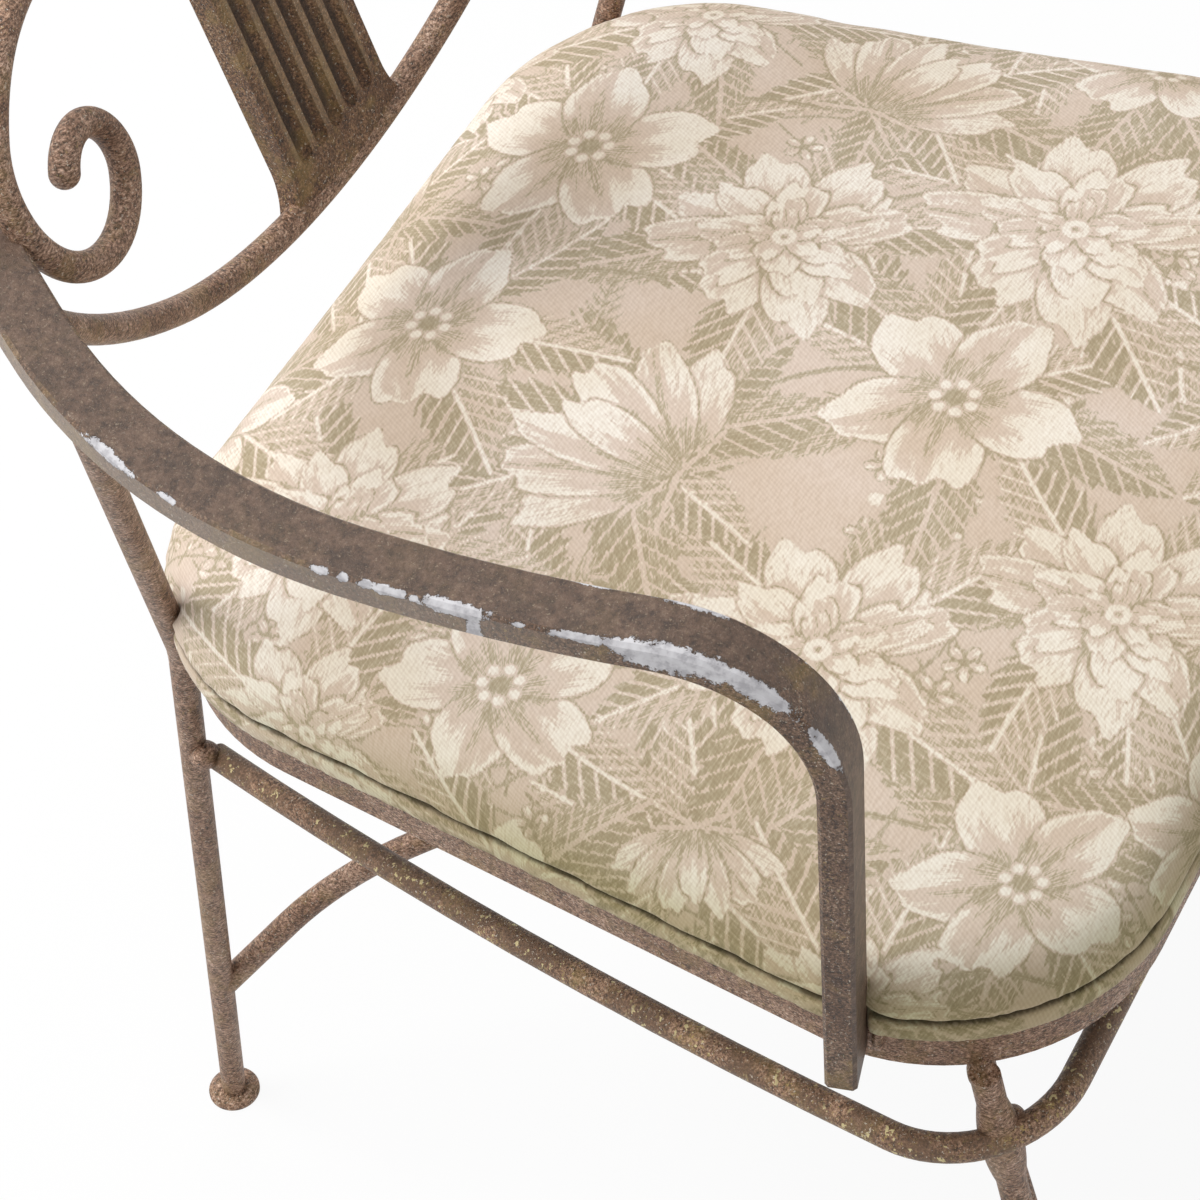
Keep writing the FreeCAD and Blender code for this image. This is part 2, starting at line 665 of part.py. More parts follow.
def main():
    os.makedirs("parts", exist_ok=True)
    ring = make_ring()
    ring_full = seat_placed(plate(seat_outline(0.0, -RING_H), RING_H))
    parts = {"seat_ring": ring}

    hoop = make_hoop()
    front_leg = make_front_leg().cut(hoop)
    arm = make_arm(ring_full)
    crest_line = Crest()
    crest = crest_line.solid()
    rail = make_back_rail().cut(arm).cut(mirrored(arm))
    rail = largest(rail)
    splat = make_splat(rail, crest)
    scroll = make_scroll(arm, crest, crest_line)

    arm_point, _, _, arm_up = arm_station(REAR_TOP_RUN)
    rear_top = arm_point - arm_up * (FLAT_T * 0.5)
    rear_leg = bent_bar(REAR_FOOT - (REAR_KNEE - REAR_FOOT) * 0.03, REAR_KNEE, rear_top,
                        REAR_BEND_R)
    rear_leg = largest(rear_leg.cut(below(FOOT_H)).cut(ring_full).cut(arm))

    hoop = largest(hoop.cut([rear_leg, mirrored(rear_leg)]))

    rear_hold = line_at(REAR_FOOT, REAR_KNEE, STRETCH_Z)
    front_hold = line_at(FRONT_FOOT, FRONT_TOP, STRETCH_Z)
    front_right = V(-front_hold.x, front_hold.y, front_hold.z)
    whole = make_stretcher(rear_hold, front_right)
    other = mirrored(whole).cut([mirrored(rear_leg), front_leg])
    whole = largest(whole.cut([rear_leg, mirrored(front_leg)]))
    cope = make_stretcher(rear_hold, front_right, BAR_D + 2.0 * COPE_GAP)
    halves = sorted(other.cut(cope).Solids, key=lambda s: -s.Volume)[:2]
    halves.sort(key=lambda s: s.CenterOfMass.y)

    tabs, holes = make_tabs()
    cover_edge = plate(seat_outline(-RING_T - COVER_GAP, -COVER_T), COVER_T)
    board = plate(seat_outline(BOARD_OUTSET), BOARD_T)
    band = plate(seat_outline(BAND_OUTSET), BOARD_T).cut(board)
    for spot in holes:
        pilot = SCREW_D / 2.0 + PILOT_CLEARANCE
        drill = Part.makeCylinder(pilot, TAB_T + COVER_T + SCREW_BITE + PILOT_CLEARANCE, spot)
        cover_edge = cover_edge.cut(drill)
        board = board.cut(drill)
    grown = []
    for scale_side in (1, -1):
        post = arm_notch(scale_side)
        grown.append(post)
    leg_notch = straight_bar(REAR_KNEE, rear_top, BAR_D + 2 * SOFT_GAP)
    notches = grown + [leg_notch, mirrored(leg_notch)]
    board = seat_placed(board).cut(notches)
    band = largest(seat_placed(band).cut(notches))
    cushion = make_cushion(notches)

    parts.update({
        "apron_hoop": hoop,
        "front_leg_left": front_leg,
        "front_leg_right": mirrored(front_leg),
        "rear_leg_left": rear_leg,
        "rear_leg_right": mirrored(rear_leg),
        "arm_rail_left": arm,
        "arm_rail_right": mirrored(arm),
        "crest_rail": crest,
        "lower_back_rail": rail,
        "back_splat": splat,
        "scroll_left": scroll,
        "scroll_right": mirrored(scroll),
        "stretcher_long": whole,
        "stretcher_half_front": halves[0],
        "stretcher_half_rear": halves[1],
        "screw_tabs": seat_placed(Part.makeCompound(tabs)),
        "seat_screws": seat_placed(Part.makeCompound(make_screws(holes))),
        "seat_board": board,
        "seat_cushion": cushion,
        "cushion_border": band,
        "dust_cover": seat_placed(cover_edge),
    })
    front_spot = line_at(FRONT_FOOT, FRONT_TOP, FOOT_H)
    rear_spot = line_at(REAR_FOOT, REAR_KNEE, FOOT_H)
    feet = {
        "foot_front_left": front_spot,
        "foot_front_right": V(-front_spot.x, front_spot.y, 0),
        "foot_rear_left": rear_spot,
        "foot_rear_right": V(-rear_spot.x, rear_spot.y, 0),
    }
    for name, spot in feet.items():
        parts[name] = make_foot(spot)

    middle = (front_spot.y - FOOT_D / 2.0 + crest_line.rear()) / 2.0
    for name, shape in parts.items():
        placed = shape.copy()
        placed.translate(V(0, -middle, 0))
        placed.exportStep("parts/%s.step" % name)
        print("%-22s solids %d volume %9.0f valid %s" % (
            name, len(placed.Solids), placed.Volume, placed.isValid()))
    print("middle", round(middle, 2))


def arm_notch(side):
    """Room for a post beside the cushion."""
    e1, e2, e3 = arm_frame()
    pivot = ARM_START - e3 * ARM_BEND_R
    turn = FreeCAD.Rotation(e1, 90.0 - math.asin(e2.z) / RAD)
    end = pivot + turn.multVec(e3 * ARM_BEND_R)
    back = turn.multVec(e3 * -1)
    end = end - back * SOFT_GAP
    room = flat_section(end, e1, back, FLAT_W + 2 * SOFT_GAP, FLAT_T + 2 * SOFT_GAP, 0.5)
    room = Part.Face(room).extrude(V(0, 0, POST_BOTTOM_Z - 20.0 - end.z))
    return room if side > 0 else mirrored(room)


main()
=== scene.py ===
"""Dressing of the garden armchair: worn bronze paint, chips, welds and a damask slip seat."""

import logging
from dataclasses import dataclass, field
from enum import Enum
from math import atan, atan2, cos, degrees, radians, sin, tan
from random import Random
from typing import Any, Sequence

import bpy
import numpy as np
from mathutils import Matrix, Vector

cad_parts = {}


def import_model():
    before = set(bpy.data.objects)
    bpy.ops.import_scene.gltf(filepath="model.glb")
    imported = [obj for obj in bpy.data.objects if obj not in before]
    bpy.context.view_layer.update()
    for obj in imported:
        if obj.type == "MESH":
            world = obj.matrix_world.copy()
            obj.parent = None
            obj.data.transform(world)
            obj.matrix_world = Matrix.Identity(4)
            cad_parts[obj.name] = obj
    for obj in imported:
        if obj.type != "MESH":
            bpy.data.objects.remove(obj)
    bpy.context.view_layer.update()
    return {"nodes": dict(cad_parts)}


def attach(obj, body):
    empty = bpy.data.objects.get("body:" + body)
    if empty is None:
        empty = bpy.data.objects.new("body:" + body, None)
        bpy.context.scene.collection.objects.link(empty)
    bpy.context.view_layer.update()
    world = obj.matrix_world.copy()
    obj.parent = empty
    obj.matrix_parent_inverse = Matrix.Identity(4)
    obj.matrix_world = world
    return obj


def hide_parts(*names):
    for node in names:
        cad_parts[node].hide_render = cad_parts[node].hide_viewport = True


LOG = logging.getLogger("garden_armchair")
MM = 0.001
PER_METRE = 1000.0
BODY = "root"
WHITE = (1.0, 1.0, 1.0, 1.0)
OUTSIDE = -3.0      # distance in mm of points that a petal or leaf can't reach
LEAF_TONE = -0.85
STEM_TONE = -0.8
Socket = bpy.types.NodeSocket
Object = bpy.types.Object
Material = bpy.types.Material
Triple = tuple[float, float, float]
Array = np.ndarray


def srgb(hex_code: str) -> tuple[float, float, float, float]:
    """Turn an sRGB hex colour into linear values with full alpha.

    Args:
        hex_code: Hash sign and six hex digits.

    Returns:
        Linear red, green, blue and an alpha of 1.
    """
    out = []
    for i in (1, 3, 5):
        c = int(hex_code[i:i + 2], 16) / 255.0
        out.append(c / 12.92 if c <= 0.04045 else ((c + 0.055) / 1.055) ** 2.4)
    return (*out, 1.0)


@dataclass(frozen=True)
class Kind:
    """Kind of shader node: its inputs in the order of a call; None stands for all outputs."""

    name: str
    inputs: tuple[Any, ...] = ()
    output: Any = 0
    settings: dict[str, Any] = field(default_factory=dict)


PLACE = Kind("TexCoord", output="Object")
NORMAL = Kind("NewGeometry", output="Normal")
RAYS = Kind("LightPath", output=None)
AXES = Kind("SeparateXYZ", (0,), None)
VALUE = Kind("Attribute", output="Fac")
VECTOR = Kind("Attribute", output="Vector")
MAPPING = Kind("Mapping", ("Vector", "Scale", "Rotation", "Location"))
NOISE = Kind("TexNoise", ("Vector", "Scale", "Detail", "Roughness"))
WAVE = Kind("TexWave", ("Vector", "Scale", "Distortion", "Detail", "Detail Scale"), "Fac",
            {"wave_type": "BANDS", "bands_direction": "X"})
RAMP = Kind("ValToRGB", ("Fac",), "Color")
MASK = Kind("MapRange", ("Value", "From Min", "From Max"), "Result",
            {"interpolation_type": "SMOOTHSTEP"})
MIX = Kind("Mix", (0, 6, 7), 2, {"data_type": "RGBA"})
TINT = Kind("Mix", (0, 6, 7), 2, {"data_type": "RGBA", "blend_type": "MULTIPLY"})
ADD, LESS, TIMES, LARGER, SIZE, FOLD = (
    Kind("Math", (0, 1), 0, {"operation": operation})
    for operation in ("ADD", "SUBTRACT", "MULTIPLY", "MAXIMUM", "ABSOLUTE", "PINGPONG"))
LENGTH = Kind("VectorMath", (0,), "Value", {"operation": "LENGTH"})
BUMP = Kind("Bump", ("Height", "Strength", "Distance"))
SHADER = Kind("BsdfPrincipled", ("Base Color", "Normal", "Roughness", "Metallic",
                                 "Sheen Weight", "Specular IOR Level"))
DIFFUSE = Kind("BsdfDiffuse", ("Color",))
GLOW = Kind("Emission", ("Color", "Strength"))
SKY = Kind("Background", ("Color", "Strength"))
BLEND = Kind("MixShader", (0, 1, 2))
SURFACE = Kind("OutputMaterial", ("Surface",), None)
BACKDROP = Kind("OutputWorld", ("Surface",), None)


@dataclass(frozen=True)
class Graph:
    """Node tree that is filled node by node."""

    tree: bpy.types.NodeTree

    def add(self, kind: Kind, *inputs: Any, stops: Sequence[tuple[float, str]] = (),
            **settings: Any) -> Any:
        """Add one node with its settings, values and links.

        Args:
            kind: Kind of the node.
            *inputs: Values or outputs of other nodes.
            stops: Rising positions and sRGB colours of a colour ramp.
            **settings: More attributes.

        Returns:
            The output that the kind names.
        """
        node = self.tree.nodes.new("ShaderNode" + kind.name)
        for key, value in {**kind.settings, **settings}.items():
            setattr(node, key, value)
        for key, item in zip(kind.inputs, inputs):
            if isinstance(item, Socket):
                self.tree.links.new(item, node.inputs[key])
            else:
                node.inputs[key].default_value = item
        if stops:
            band = node.color_ramp.elements
            band.remove(band[-1])
            band[0].position = stops[0][0]
            for position, _ in stops[1:]:
                band.new(position)
            for element, (_, code) in zip(band, stops):
                element.color = srgb(code)
        return node.outputs if kind.output is None else node.outputs[kind.output]


def scale_of(size_mm: float) -> float:
    """Noise scale whose features are about as large as the given size in millimetres."""
    return PER_METRE / size_mm


def empty_graph(block: Any) -> Graph:
    """Switch on the nodes of a material or world, and empty its tree.

    Args:
        block: The material or world.

    Returns:
        Its graph.
    """
    block.use_nodes = True
    block.node_tree.nodes.clear()
    return Graph(block.node_tree)


@dataclass(frozen=True)
class Finish:
    """Base of the finishes: shader constants, and the relief's strength and depth in mm."""

    name: str
    roughness: float = 0.7
    metallic: float = 0.0
    sheen: float = 0.0
    specular: float = 0.5
    relief: tuple[float, float] = (0.3, 0.2)

    def shade(self, graph: Graph) -> tuple[Socket, Socket]:
        """Draw the finish; each kind of finish has its own way.

        Args:
            graph: Graph of the material.

        Returns:
            The outputs of colour and of height.
        """
        raise NotImplementedError

    def build(self) -> Material:
        """Build the shader.

        Returns:
            The finished material.
        """
        material = bpy.data.materials.new(self.name)
        graph = empty_graph(material)
        colour, height = self.shade(graph)
        strength, depth_mm = self.relief
        normal = graph.add(BUMP, height, strength, depth_mm * MM)
        graph.add(SURFACE, graph.add(SHADER, colour, normal, self.roughness, self.metallic,
                                     self.sheen, self.specular))
        return material


class Skin(Enum):
    """Which kind of painted bar a coat is for."""

    ROUND = "round"
    RAIL = "rail"
    HOOP = "hoop"
    SPLAT = "splat"


@dataclass(frozen=True)
class ArmEdge:
    """Centre line of the flat arm bar, in millimetres, to set marks on its edges."""

    start: Triple = (-287.6, -112.04, 656.7)
    heading: float = -14.5
    rise: float = 0.0555
    arcs: tuple[tuple[float, float], ...] = ((629.5, 106.4), (228.6, 151.0), (600.0, 60.0))
    bend: float = 72.0
    half: float = 12.0
    sunk: float = 0.7

    def place(self, run: float, side: float) -> tuple[Vector, Matrix]:
        """Find a spot on the bar's top edge.

        Args:
            run: Distance behind the bend, or minus the degrees round it.
            side: -1 for the outer edge, 1 for the inner edge, 0 for the middle.

        Returns:
            The spot, and the axes across, along and out of the face as columns.
        """
        a = radians(self.heading)
        across = Vector((cos(a), -sin(a), 0.0))
        along = Vector((sin(a), cos(a), self.rise)).normalized()
        out = across.cross(along)
        spot = Vector(self.start)
        if run < 0.0:
            c, s = cos(radians(run)), sin(radians(run))
            axes = (across, along * c - out * s, out * c + along * s)
            spot += (axes[2] - out) * self.bend
        else:
            t = 0.0
            for radius, length in self.arcs:
                end = t + min(run, length) / radius
                spot += across * radius * (cos(t) - cos(end))
                spot += along * radius * (sin(end) - sin(t))
                t, run = end, max(run - length, 0.0)
            c, s = cos(t), sin(t)
            axes = (across * c - along * s, across * s + along * c, out)
        spot += axes[0] * self.half * side - axes[2] * self.sunk
        return spot, Matrix(axes).transposed()


@dataclass(frozen=True)
class Chip:
    """One place on the arm where the paint has flaked off: run, edge and half sizes in mm."""

    run: float
    edge: float
    long: float
    wide: float
    deep: float = 0.0
    mirrored: bool = False

    def mark(self, graph: Graph, place: Socket) -> Socket:
        """Value that is 1 in the middle of the chip and 0 on its limit.

        Args:
            graph: Graph of the paint.
            place: Object coordinates in metres.

        Returns:
            The value output.
        """
        spot, axes = ArmEdge().place(self.run, self.edge)
        spot = spot - axes.col[2] * self.deep
        if self.mirrored:
            spot.x = -spot.x
            flip = Matrix.Diagonal((-1.0, 1.0, 1.0))
            axes = flip @ axes @ flip
        wide = self.wide * 1.25
        sizes = (wide * MM, self.long * 1.1 * MM, (wide + self.deep) * MM)
        inside = graph.add(MAPPING, place, sizes, tuple(axes.to_euler()), tuple(spot * MM),
                           vector_type="TEXTURE")
        return graph.add(LESS, 1.0, graph.add(LENGTH, inside))


CHIPS = tuple(Chip(*row) for row in (
    (200, -1, 15, 2.6), (172, -1, 5, 1.6), (112, -1, 3.6, 1.9), (104, -1, 2.6, 1.8),
    (96, -1, 3.2, 1.8), (90, -1, 4.6, 2.2), (84, -1, 3.6, 2.0), (79, -1, 2.4, 1.5),
    (65, -1, 13.5, 3.4), (43, -1, 3.0, 1.3), (22, -1, 12.5, 2.1), (5, -1, 9, 3.2),
    (-5, -1, 19, 4.6, 2.5), (-17, -1, 13, 4.6, 1.0), (-32, -1, 19, 3.7, 0.8), (-60, -1, 13, 3.0),
    (22, 1, 9, 1.9), (-10, 1, 16, 2.7), (-46, 1, 5, 1.8), (-62, 1, 13, 2.0),
    (58, -1, 3.4, 2.2, 12.0), (180, -1, 14, 2.8, 0.0, True), (90, -1, 7, 2.4, 0.0, True),
    (74, -1, 4, 1.8, 0.0, True), (30, -1, 16, 3.2, 0.0, True), (-14, -1, 22, 4.0, 1.0, True),
    (-44, -1, 12, 3.0, 0.0, True), (-20, 1, 12, 2.2, 0.0, True), (120, 1, 8, 2.0, 0.0, True),
))


@dataclass(frozen=True)
class BronzePaint(Finish):
    """Textured bronze-brown paint: a sandy skin with umber pits and mauve high spots.

    Straw specks lie scattered. The hoop has gold flecks, and the rails a smoother top.
    """

    name: str = "textured_bronze_paint"
    skin: Skin = Skin.ROUND
    warm: str = "#FFF4F2"
    roughness: float = 0.46
    relief: tuple[float, float] = (1.0, 1.1)
    grit_mm: float = 1.15
    coat: tuple[tuple[float, str], ...] = (
        (0.36, "#2C2018"), (0.43, "#614B35"), (0.50, "#967D68"), (0.57, "#C1A894"),
        (0.65, "#F5E2CE"))

    def shade(self, graph: Graph) -> tuple[Socket, Socket]:
        """Sandy coat with patches and specks, then what this skin has of its own.

        Args:
            graph: Graph of the material.

        Returns:
            The outputs of colour and of height.
        """
        add = graph.add
        round_bar, hoop = self.skin is Skin.ROUND, self.skin is Skin.HOOP
        place = add(PLACE)
        brushed = add(MAPPING, place, (0.75, 0.75, 1.7)) if round_bar else place
        grit = add(NOISE, brushed, scale_of(self.grit_mm), 3.0, 0.75)
        lumps = add(NOISE, place, scale_of(self.grit_mm * 3.0), 3.0, 0.65)
        patch = add(NOISE, place, scale_of(26.0), 3.0, 0.6)
        height = add(ADD, add(TIMES, grit, 0.75), add(TIMES, lumps, 0.25))
        colour = add(RAMP, height, stops=self.coat)
        tint = add(RAMP, patch, stops=((0.36, "#C6AF98"), (0.50, "#E6D9CC"), (0.64, "#FFFAF5")))
        colour = add(TINT, 0.8, colour, tint)
        colour = add(TINT, 1.0, colour, srgb(self.warm))
        ochre = add(MASK, add(NOISE, place, scale_of(21.0), 3.0, 0.65), 0.50, 0.64)
        colour = add(MIX, add(TIMES, ochre, 0.22 if round_bar else 0.36), colour, srgb("#9E8449"))
        low = 0.60 if hoop else 0.64
        gold = add(MASK, add(NOISE, place, scale_of(self.grit_mm * 1.9), 2.0, 0.8), low, low + 0.05)
        zone = add(MASK, add(NOISE, place, scale_of(30.0), 2.0, 0.5), 0.40, 0.56)
        zone = add(TIMES, zone, 0.85 if hoop else 0.55)
        colour = add(MIX, add(TIMES, gold, zone), colour, srgb("#B79C5E"))
        if hoop:
            calm = add(TIMES, add(MASK, patch, 0.62, 0.40), 0.6)
            colour = add(MIX, calm, colour, srgb("#6B523C"))
            large = add(MASK, add(NOISE, place, scale_of(3.4), 2.0, 0.7), 0.615, 0.635)
            near = add(MASK, add(NOISE, place, scale_of(16.0), 2.0, 0.6), 0.44, 0.56)
            colour = add(MIX, add(TIMES, large, near), colour, srgb("#D9C893"))
        salt = add(MASK, add(NOISE, place, scale_of(self.grit_mm * 1.2), 2.0, 0.85), 0.635, 0.675)
        colour = add(MIX, add(TIMES, salt, 0.75), colour, srgb("#DCD1BF"))
        if self.skin is Skin.RAIL:
            return self.rail(graph, place, colour, height)
        if self.skin is Skin.SPLAT:
            colour = self.reeds(graph, place, colour)
        return colour, height

    def reeds(self, graph: Graph, place: Socket, colour: Socket) -> Socket:
        """Painted shade in the five grooves of the splat and painted highlights on the crowns of
        its reeds.

        Args:
            graph: Graph of the paint.
            place: Object coordinates.
            colour: Colour of the coat.

        Returns:
            The new colour output.
        """
        add = graph.add
        pitch = 12.6 * MM
        axes = add(AXES, place)
        front = add(MASK, add(AXES, add(NORMAL))[1], 0.1, -0.2)
        step = add(FOLD, add(SIZE, axes[0]), pitch / 2.0)
        within = add(MASK, add(SIZE, axes[0]), 2.62 * pitch, 2.45 * pitch)
        low, high = add(MASK, axes[2], 0.528, 0.540), add(MASK, axes[2], 0.836, 0.826)
        zone = add(TIMES, add(TIMES, within, front), add(TIMES, low, high))
        # painted shade: darkens the grooves between the reeds on the front face
        groove_shade = add(TIMES, add(MASK, step, 0.0034, 0.0010), zone)
        crown_highlight = add(TIMES, add(MASK, step, 0.0030, 0.0050), zone)
        # painted highlight on the reed crowns, then painted shade in the grooves
        colour = add(MIX, add(TIMES, crown_highlight, 0.35), colour, srgb("#A8906E"))
        return add(MIX, add(TIMES, groove_shade, 0.80), colour, srgb("#2A1C13"))

    def rail(self, graph: Graph, place: Socket, colour: Socket,
             height: Socket) -> tuple[Socket, Socket]:
        """Handled smooth top face, stained patches and flaked edges of the arm, with a painted
        shadow round each flake.

        Args:
            graph: Graph of the paint.
            place: Object coordinates.
            colour: Colour of the rough coat.
            height: Relief of the rough coat.

        Returns:
            The new outputs of colour and of height.
        """
        add = graph.add
        facing = add(AXES, add(NORMAL))
        wobble = add(TIMES, add(NOISE, place, scale_of(6.0), 3.0, 0.6), 0.3)
        lean = add(ADD, add(LARGER, facing[2], add(TIMES, facing[1], -0.97)), wobble)
        worn = add(MASK, lean, 0.80, 0.98)
        flank = add(MASK, add(SIZE, facing[0]), 0.6, 0.9)
        behind = add(MASK, add(AXES, place)[1], -0.14, -0.02)
        pale = add(TIMES, add(TIMES, flank, behind), 0.45)
        colour = add(MIX, pale, colour, srgb("#B5A89C"))
        dull = add(RAMP, add(NOISE, place, scale_of(5.0), 6.0, 0.8), stops=(
            (0.38, "#382920"), (0.46, "#523F32"), (0.54, "#634D3F"), (0.66, "#7C6655")))
        stain = add(MASK, add(NOISE, place, scale_of(17.0), 4.0, 0.7), 0.53, 0.62)
        dull = add(MIX, add(TIMES, stain, 0.5), dull, srgb("#35281F"))
        dots = add(MASK, add(NOISE, place, scale_of(1.3), 2.0, 0.8), 0.62, 0.68)
        dull = add(MIX, add(TIMES, dots, 0.5), dull, srgb("#A8977F"))
        colour = add(MIX, add(TIMES, worn, 0.88), colour, dull)
        height = add(TIMES, height, add(LESS, 1.0, add(TIMES, worn, 0.45)))
        mark = CHIPS[0].mark(graph, place)
        for chip in CHIPS[1:]:
            mark = add(LARGER, mark, chip.mark(graph, place))
        torn = add(ADD, mark, add(TIMES, add(NOISE, place, scale_of(3.4), 5.0, 0.8), 1.9))
        bare, rim = add(MASK, torn, 1.13, 1.16), add(MASK, torn, 1.04, 1.13)
        primer = add(RAMP, add(NOISE, place, scale_of(5.0), 3.0, 0.6), stops=(
            (0.38, "#B2B0B4"), (0.50, "#CFCDD0"), (0.7, "#DEDDE0")))
        # painted shadow: a dark ring round each chip stands in for the shade at the paint's broken
        # edge
        colour = add(MIX, add(TIMES, rim, 0.65), colour, srgb("#3A2E27"))
        step = add(TIMES, bare, -0.9)
        height = add(ADD, add(TIMES, height, add(LESS, 1.0, bare)), step)
        return add(MIX, bare, colour, primer), height


@dataclass(frozen=True, kw_only=True)
class PlainFinish(Finish):
    """Small hidden finish: raw plywood, black cover cloth or zinc-plated steel."""

    light: str
    dark: str
    grain_mm: float
    stretch: float = 1.0

    def shade(self, graph: Graph) -> tuple[Socket, Socket]:
        """Two tones in grains that the stretch draws out along Y.

        Args:
            graph: Graph of the material.

        Returns:
            The outputs of colour and of height.
        """
        add = graph.add
        drawn = add(MAPPING, add(PLACE), (1.0, self.stretch, 1.0))
        cloud = add(NOISE, drawn, scale_of(self.grain_mm), 4.0, 0.65)
        return add(RAMP, cloud, stops=((0.35, self.dark), (0.65, self.light))), cloud


@dataclass(frozen=True)
class DamaskCloth(Finish):
    """Cotton-rayon damask: a matt twill ground with satin floats that draw the flowers.

    The attribute tone runs from khaki, -1, to ivory, 1. The attribute weft gives the run of
    the floats, and seam gives a painted shade along the stitched join. The threads are drawn
    coarse, to show.
    """

    name: str = "tonal_floral_damask"
    roughness: float = 0.78
    sheen: float = 0.12
    specular: float = 0.25
    relief: tuple[float, float] = (0.4, 0.2)
    thread_mm: float = 0.85
    float_mm: float = 1.25
    tones: tuple[tuple[float, str], ...] = (
        (0.16, "#B9AC92"), (0.34, "#CBBEA7"), (0.42, "#E5D4C6"), (0.56, "#E5D4C6"),
        (0.63, "#EFE3D6"), (0.76, "#FBF4E9"))

    def shade(self, graph: Graph) -> tuple[Socket, Socket]:
        """Ragged woven figure, twill lines, soiling, the green rim and a painted shade at the seam.

        Args:
            graph: Graph of the material.

        Returns:
            The outputs of colour and of height.
        """
        add = graph.add
        tone, rim, seam = (add(VALUE, attribute_name=key) for key in ("tone", "rim", "seam"))
        weft, lay = (add(VECTOR, attribute_name=key) for key in ("weft", "lay"))
        floats = add(MAPPING, weft, (0.13, 1.0, 1.0))
        stroke = add(NOISE, floats, scale_of(self.float_mm), 2.0, 0.65)
        picks = add(MAPPING, lay, (0.22, 1.0, 1.0), (0, 0, radians(28)))
        pick = add(NOISE, picks, scale_of(self.float_mm * 0.9), 2.0, 0.6)
        ragged = add(LESS, add(ADD, add(TIMES, stroke, 2.3), add(TIMES, pick, 1.5)), 1.9)
        figure = add(MASK, add(SIZE, tone), 0.02, 0.45)
        loose = add(ADD, add(TIMES, figure, 0.85), 0.15)
        value = add(ADD, tone, add(TIMES, ragged, loose))
        colour = add(RAMP, add(ADD, add(TIMES, value, 0.36), 0.5), stops=self.tones)
        turned = add(MAPPING, lay, (1.0, 1.0, 1.0), (0, 0, radians(32)))
        twill = add(WAVE, turned, scale_of(self.thread_mm) / 6.3, 1.2, 1.0, 1.2)
        age = add(NOISE, lay, scale_of(80.0), 2.0, 0.5)
        for share, source, low, high, code in (
            (0.35, twill, 0.0, 1.0, "#E4DDD6"), (0.5, pick, 0.35, 0.6, "#E9E2DA"),
            (0.8, age, 0.38, 0.62, "#F1ECE2"),
        ):
            veil = add(RAMP, source, stops=((low, code), (high, "#FFFFFF")))
            colour = add(TINT, share, colour, veil)
        # the rim tint darkens and greens the cloth there, mottled by the soiling noise
        green = add(TIMES, rim, add(ADD, age, 0.45))
        colour = add(TINT, green, colour, srgb("#C4C39A"))
        # painted shade: the cloth is darkened along the seam between cushion and band
        colour = add(TINT, seam, colour, srgb("#55503E"))
        return colour, add(ADD, add(TIMES, twill, 0.5), add(TIMES, ragged, 0.6))


def select_only(obj: Object) -> None:
    """Deselect everything, then select one object and make it active.

    Args:
        obj: The object.
    """
    bpy.ops.object.select_all(action="DESELECT")
    obj.select_set(True)
    bpy.context.view_layer.objects.active = obj


def modify(obj: Object, kind: str, **settings: Any) -> None:
    """Add a modifier with its settings and apply it.

    Args:
        obj: The object.
        kind: Type of the modifier.
        **settings: Its attributes.
    """
    modifier = obj.modifiers.new(kind.lower(), kind)
    for key, value in settings.items():
        setattr(modifier, key, value)
    select_only(obj)
    bpy.ops.object.modifier_apply(modifier=modifier.name)


def copy_of_node(node: str, name: str) -> Object:
    """Copy a CAD node's mesh into a new object with its triangles joined.

    Args:
        node: Name of the node.
        name: Name of the new object.

    Returns:
        The new object.
    """
    mesh = bpy.data.objects[node].data.copy()
    mesh.name = name
    mesh.materials.clear()
    obj = bpy.data.objects.new(name, mesh)
    bpy.context.scene.collection.objects.link(obj)
    select_only(obj)
    bpy.ops.object.mode_set(mode="EDIT")
    bpy.ops.mesh.select_all(action="SELECT")
    bpy.ops.mesh.remove_doubles(threshold=1e-5)
    bpy.ops.mesh.normals_make_consistent(inside=False)
    bpy.ops.object.mode_set(mode="OBJECT")
    return obj


def vertex_array(obj: Object, key: str = "co") -> Array:
    """Read the vertex positions of an object, or its normals.

    Args:
        obj: The object.
        key: Property of the vertices.

    Returns:
        One row of three numbers per vertex.
    """
    data = np.empty(len(obj.data.vertices) * 3, dtype=np.float32)
    obj.data.vertices.foreach_get(key, data)
    return data.reshape(-1, 3).astype(float)


def set_vertices(obj: Object, points: Array) -> None:
    """Write vertex positions back to an object."""
    obj.data.vertices.foreach_set("co", points.astype(np.float32).ravel())
    obj.data.update()


def coat(obj: Object, material: Material) -> None:
    """Give an object one material and smooth shading.

    Args:
        obj: The object.
        material: Its material.
    """
    obj.data.materials.clear()
    obj.data.materials.append(material)
    obj.data.polygons.foreach_set("use_smooth", [True] * len(obj.data.polygons))


def put_attribute(obj: Object, name: str, values: Array) -> None:
    """Store a value or a vector per vertex.

    Args:
        obj: Object that gets the attribute.
        name: Attribute name.
        values: One number or three per vertex.
    """
    kind, key = ("FLOAT", "value") if values.ndim == 1 else ("FLOAT_VECTOR", "vector")
    attribute = obj.data.attributes.new(name, kind, "POINT")
    attribute.data.foreach_set(key, values.astype(np.float32).ravel())


def ease(value: Array, low: float, high: float) -> Array:
    """Smooth step of an array between two limits."""
    t = np.clip((value - low) / (high - low), 0.0, 1.0)
    return t * t * (3.0 - 2.0 * t)


@dataclass(frozen=True)
class Spot:
    """Place on the cloth in millimetres, and a direction in degrees from +X."""

    x: float
    y: float
    turn: float = 0.0

    def ahead(self, way: float, turned: float = 0.0) -> "Spot":
        """Go some way in this direction turned by some degrees, and face that way."""
        turn = self.turn + turned
        a = radians(turn)
        return Spot(self.x + way * cos(a), self.y + way * sin(a), turn)


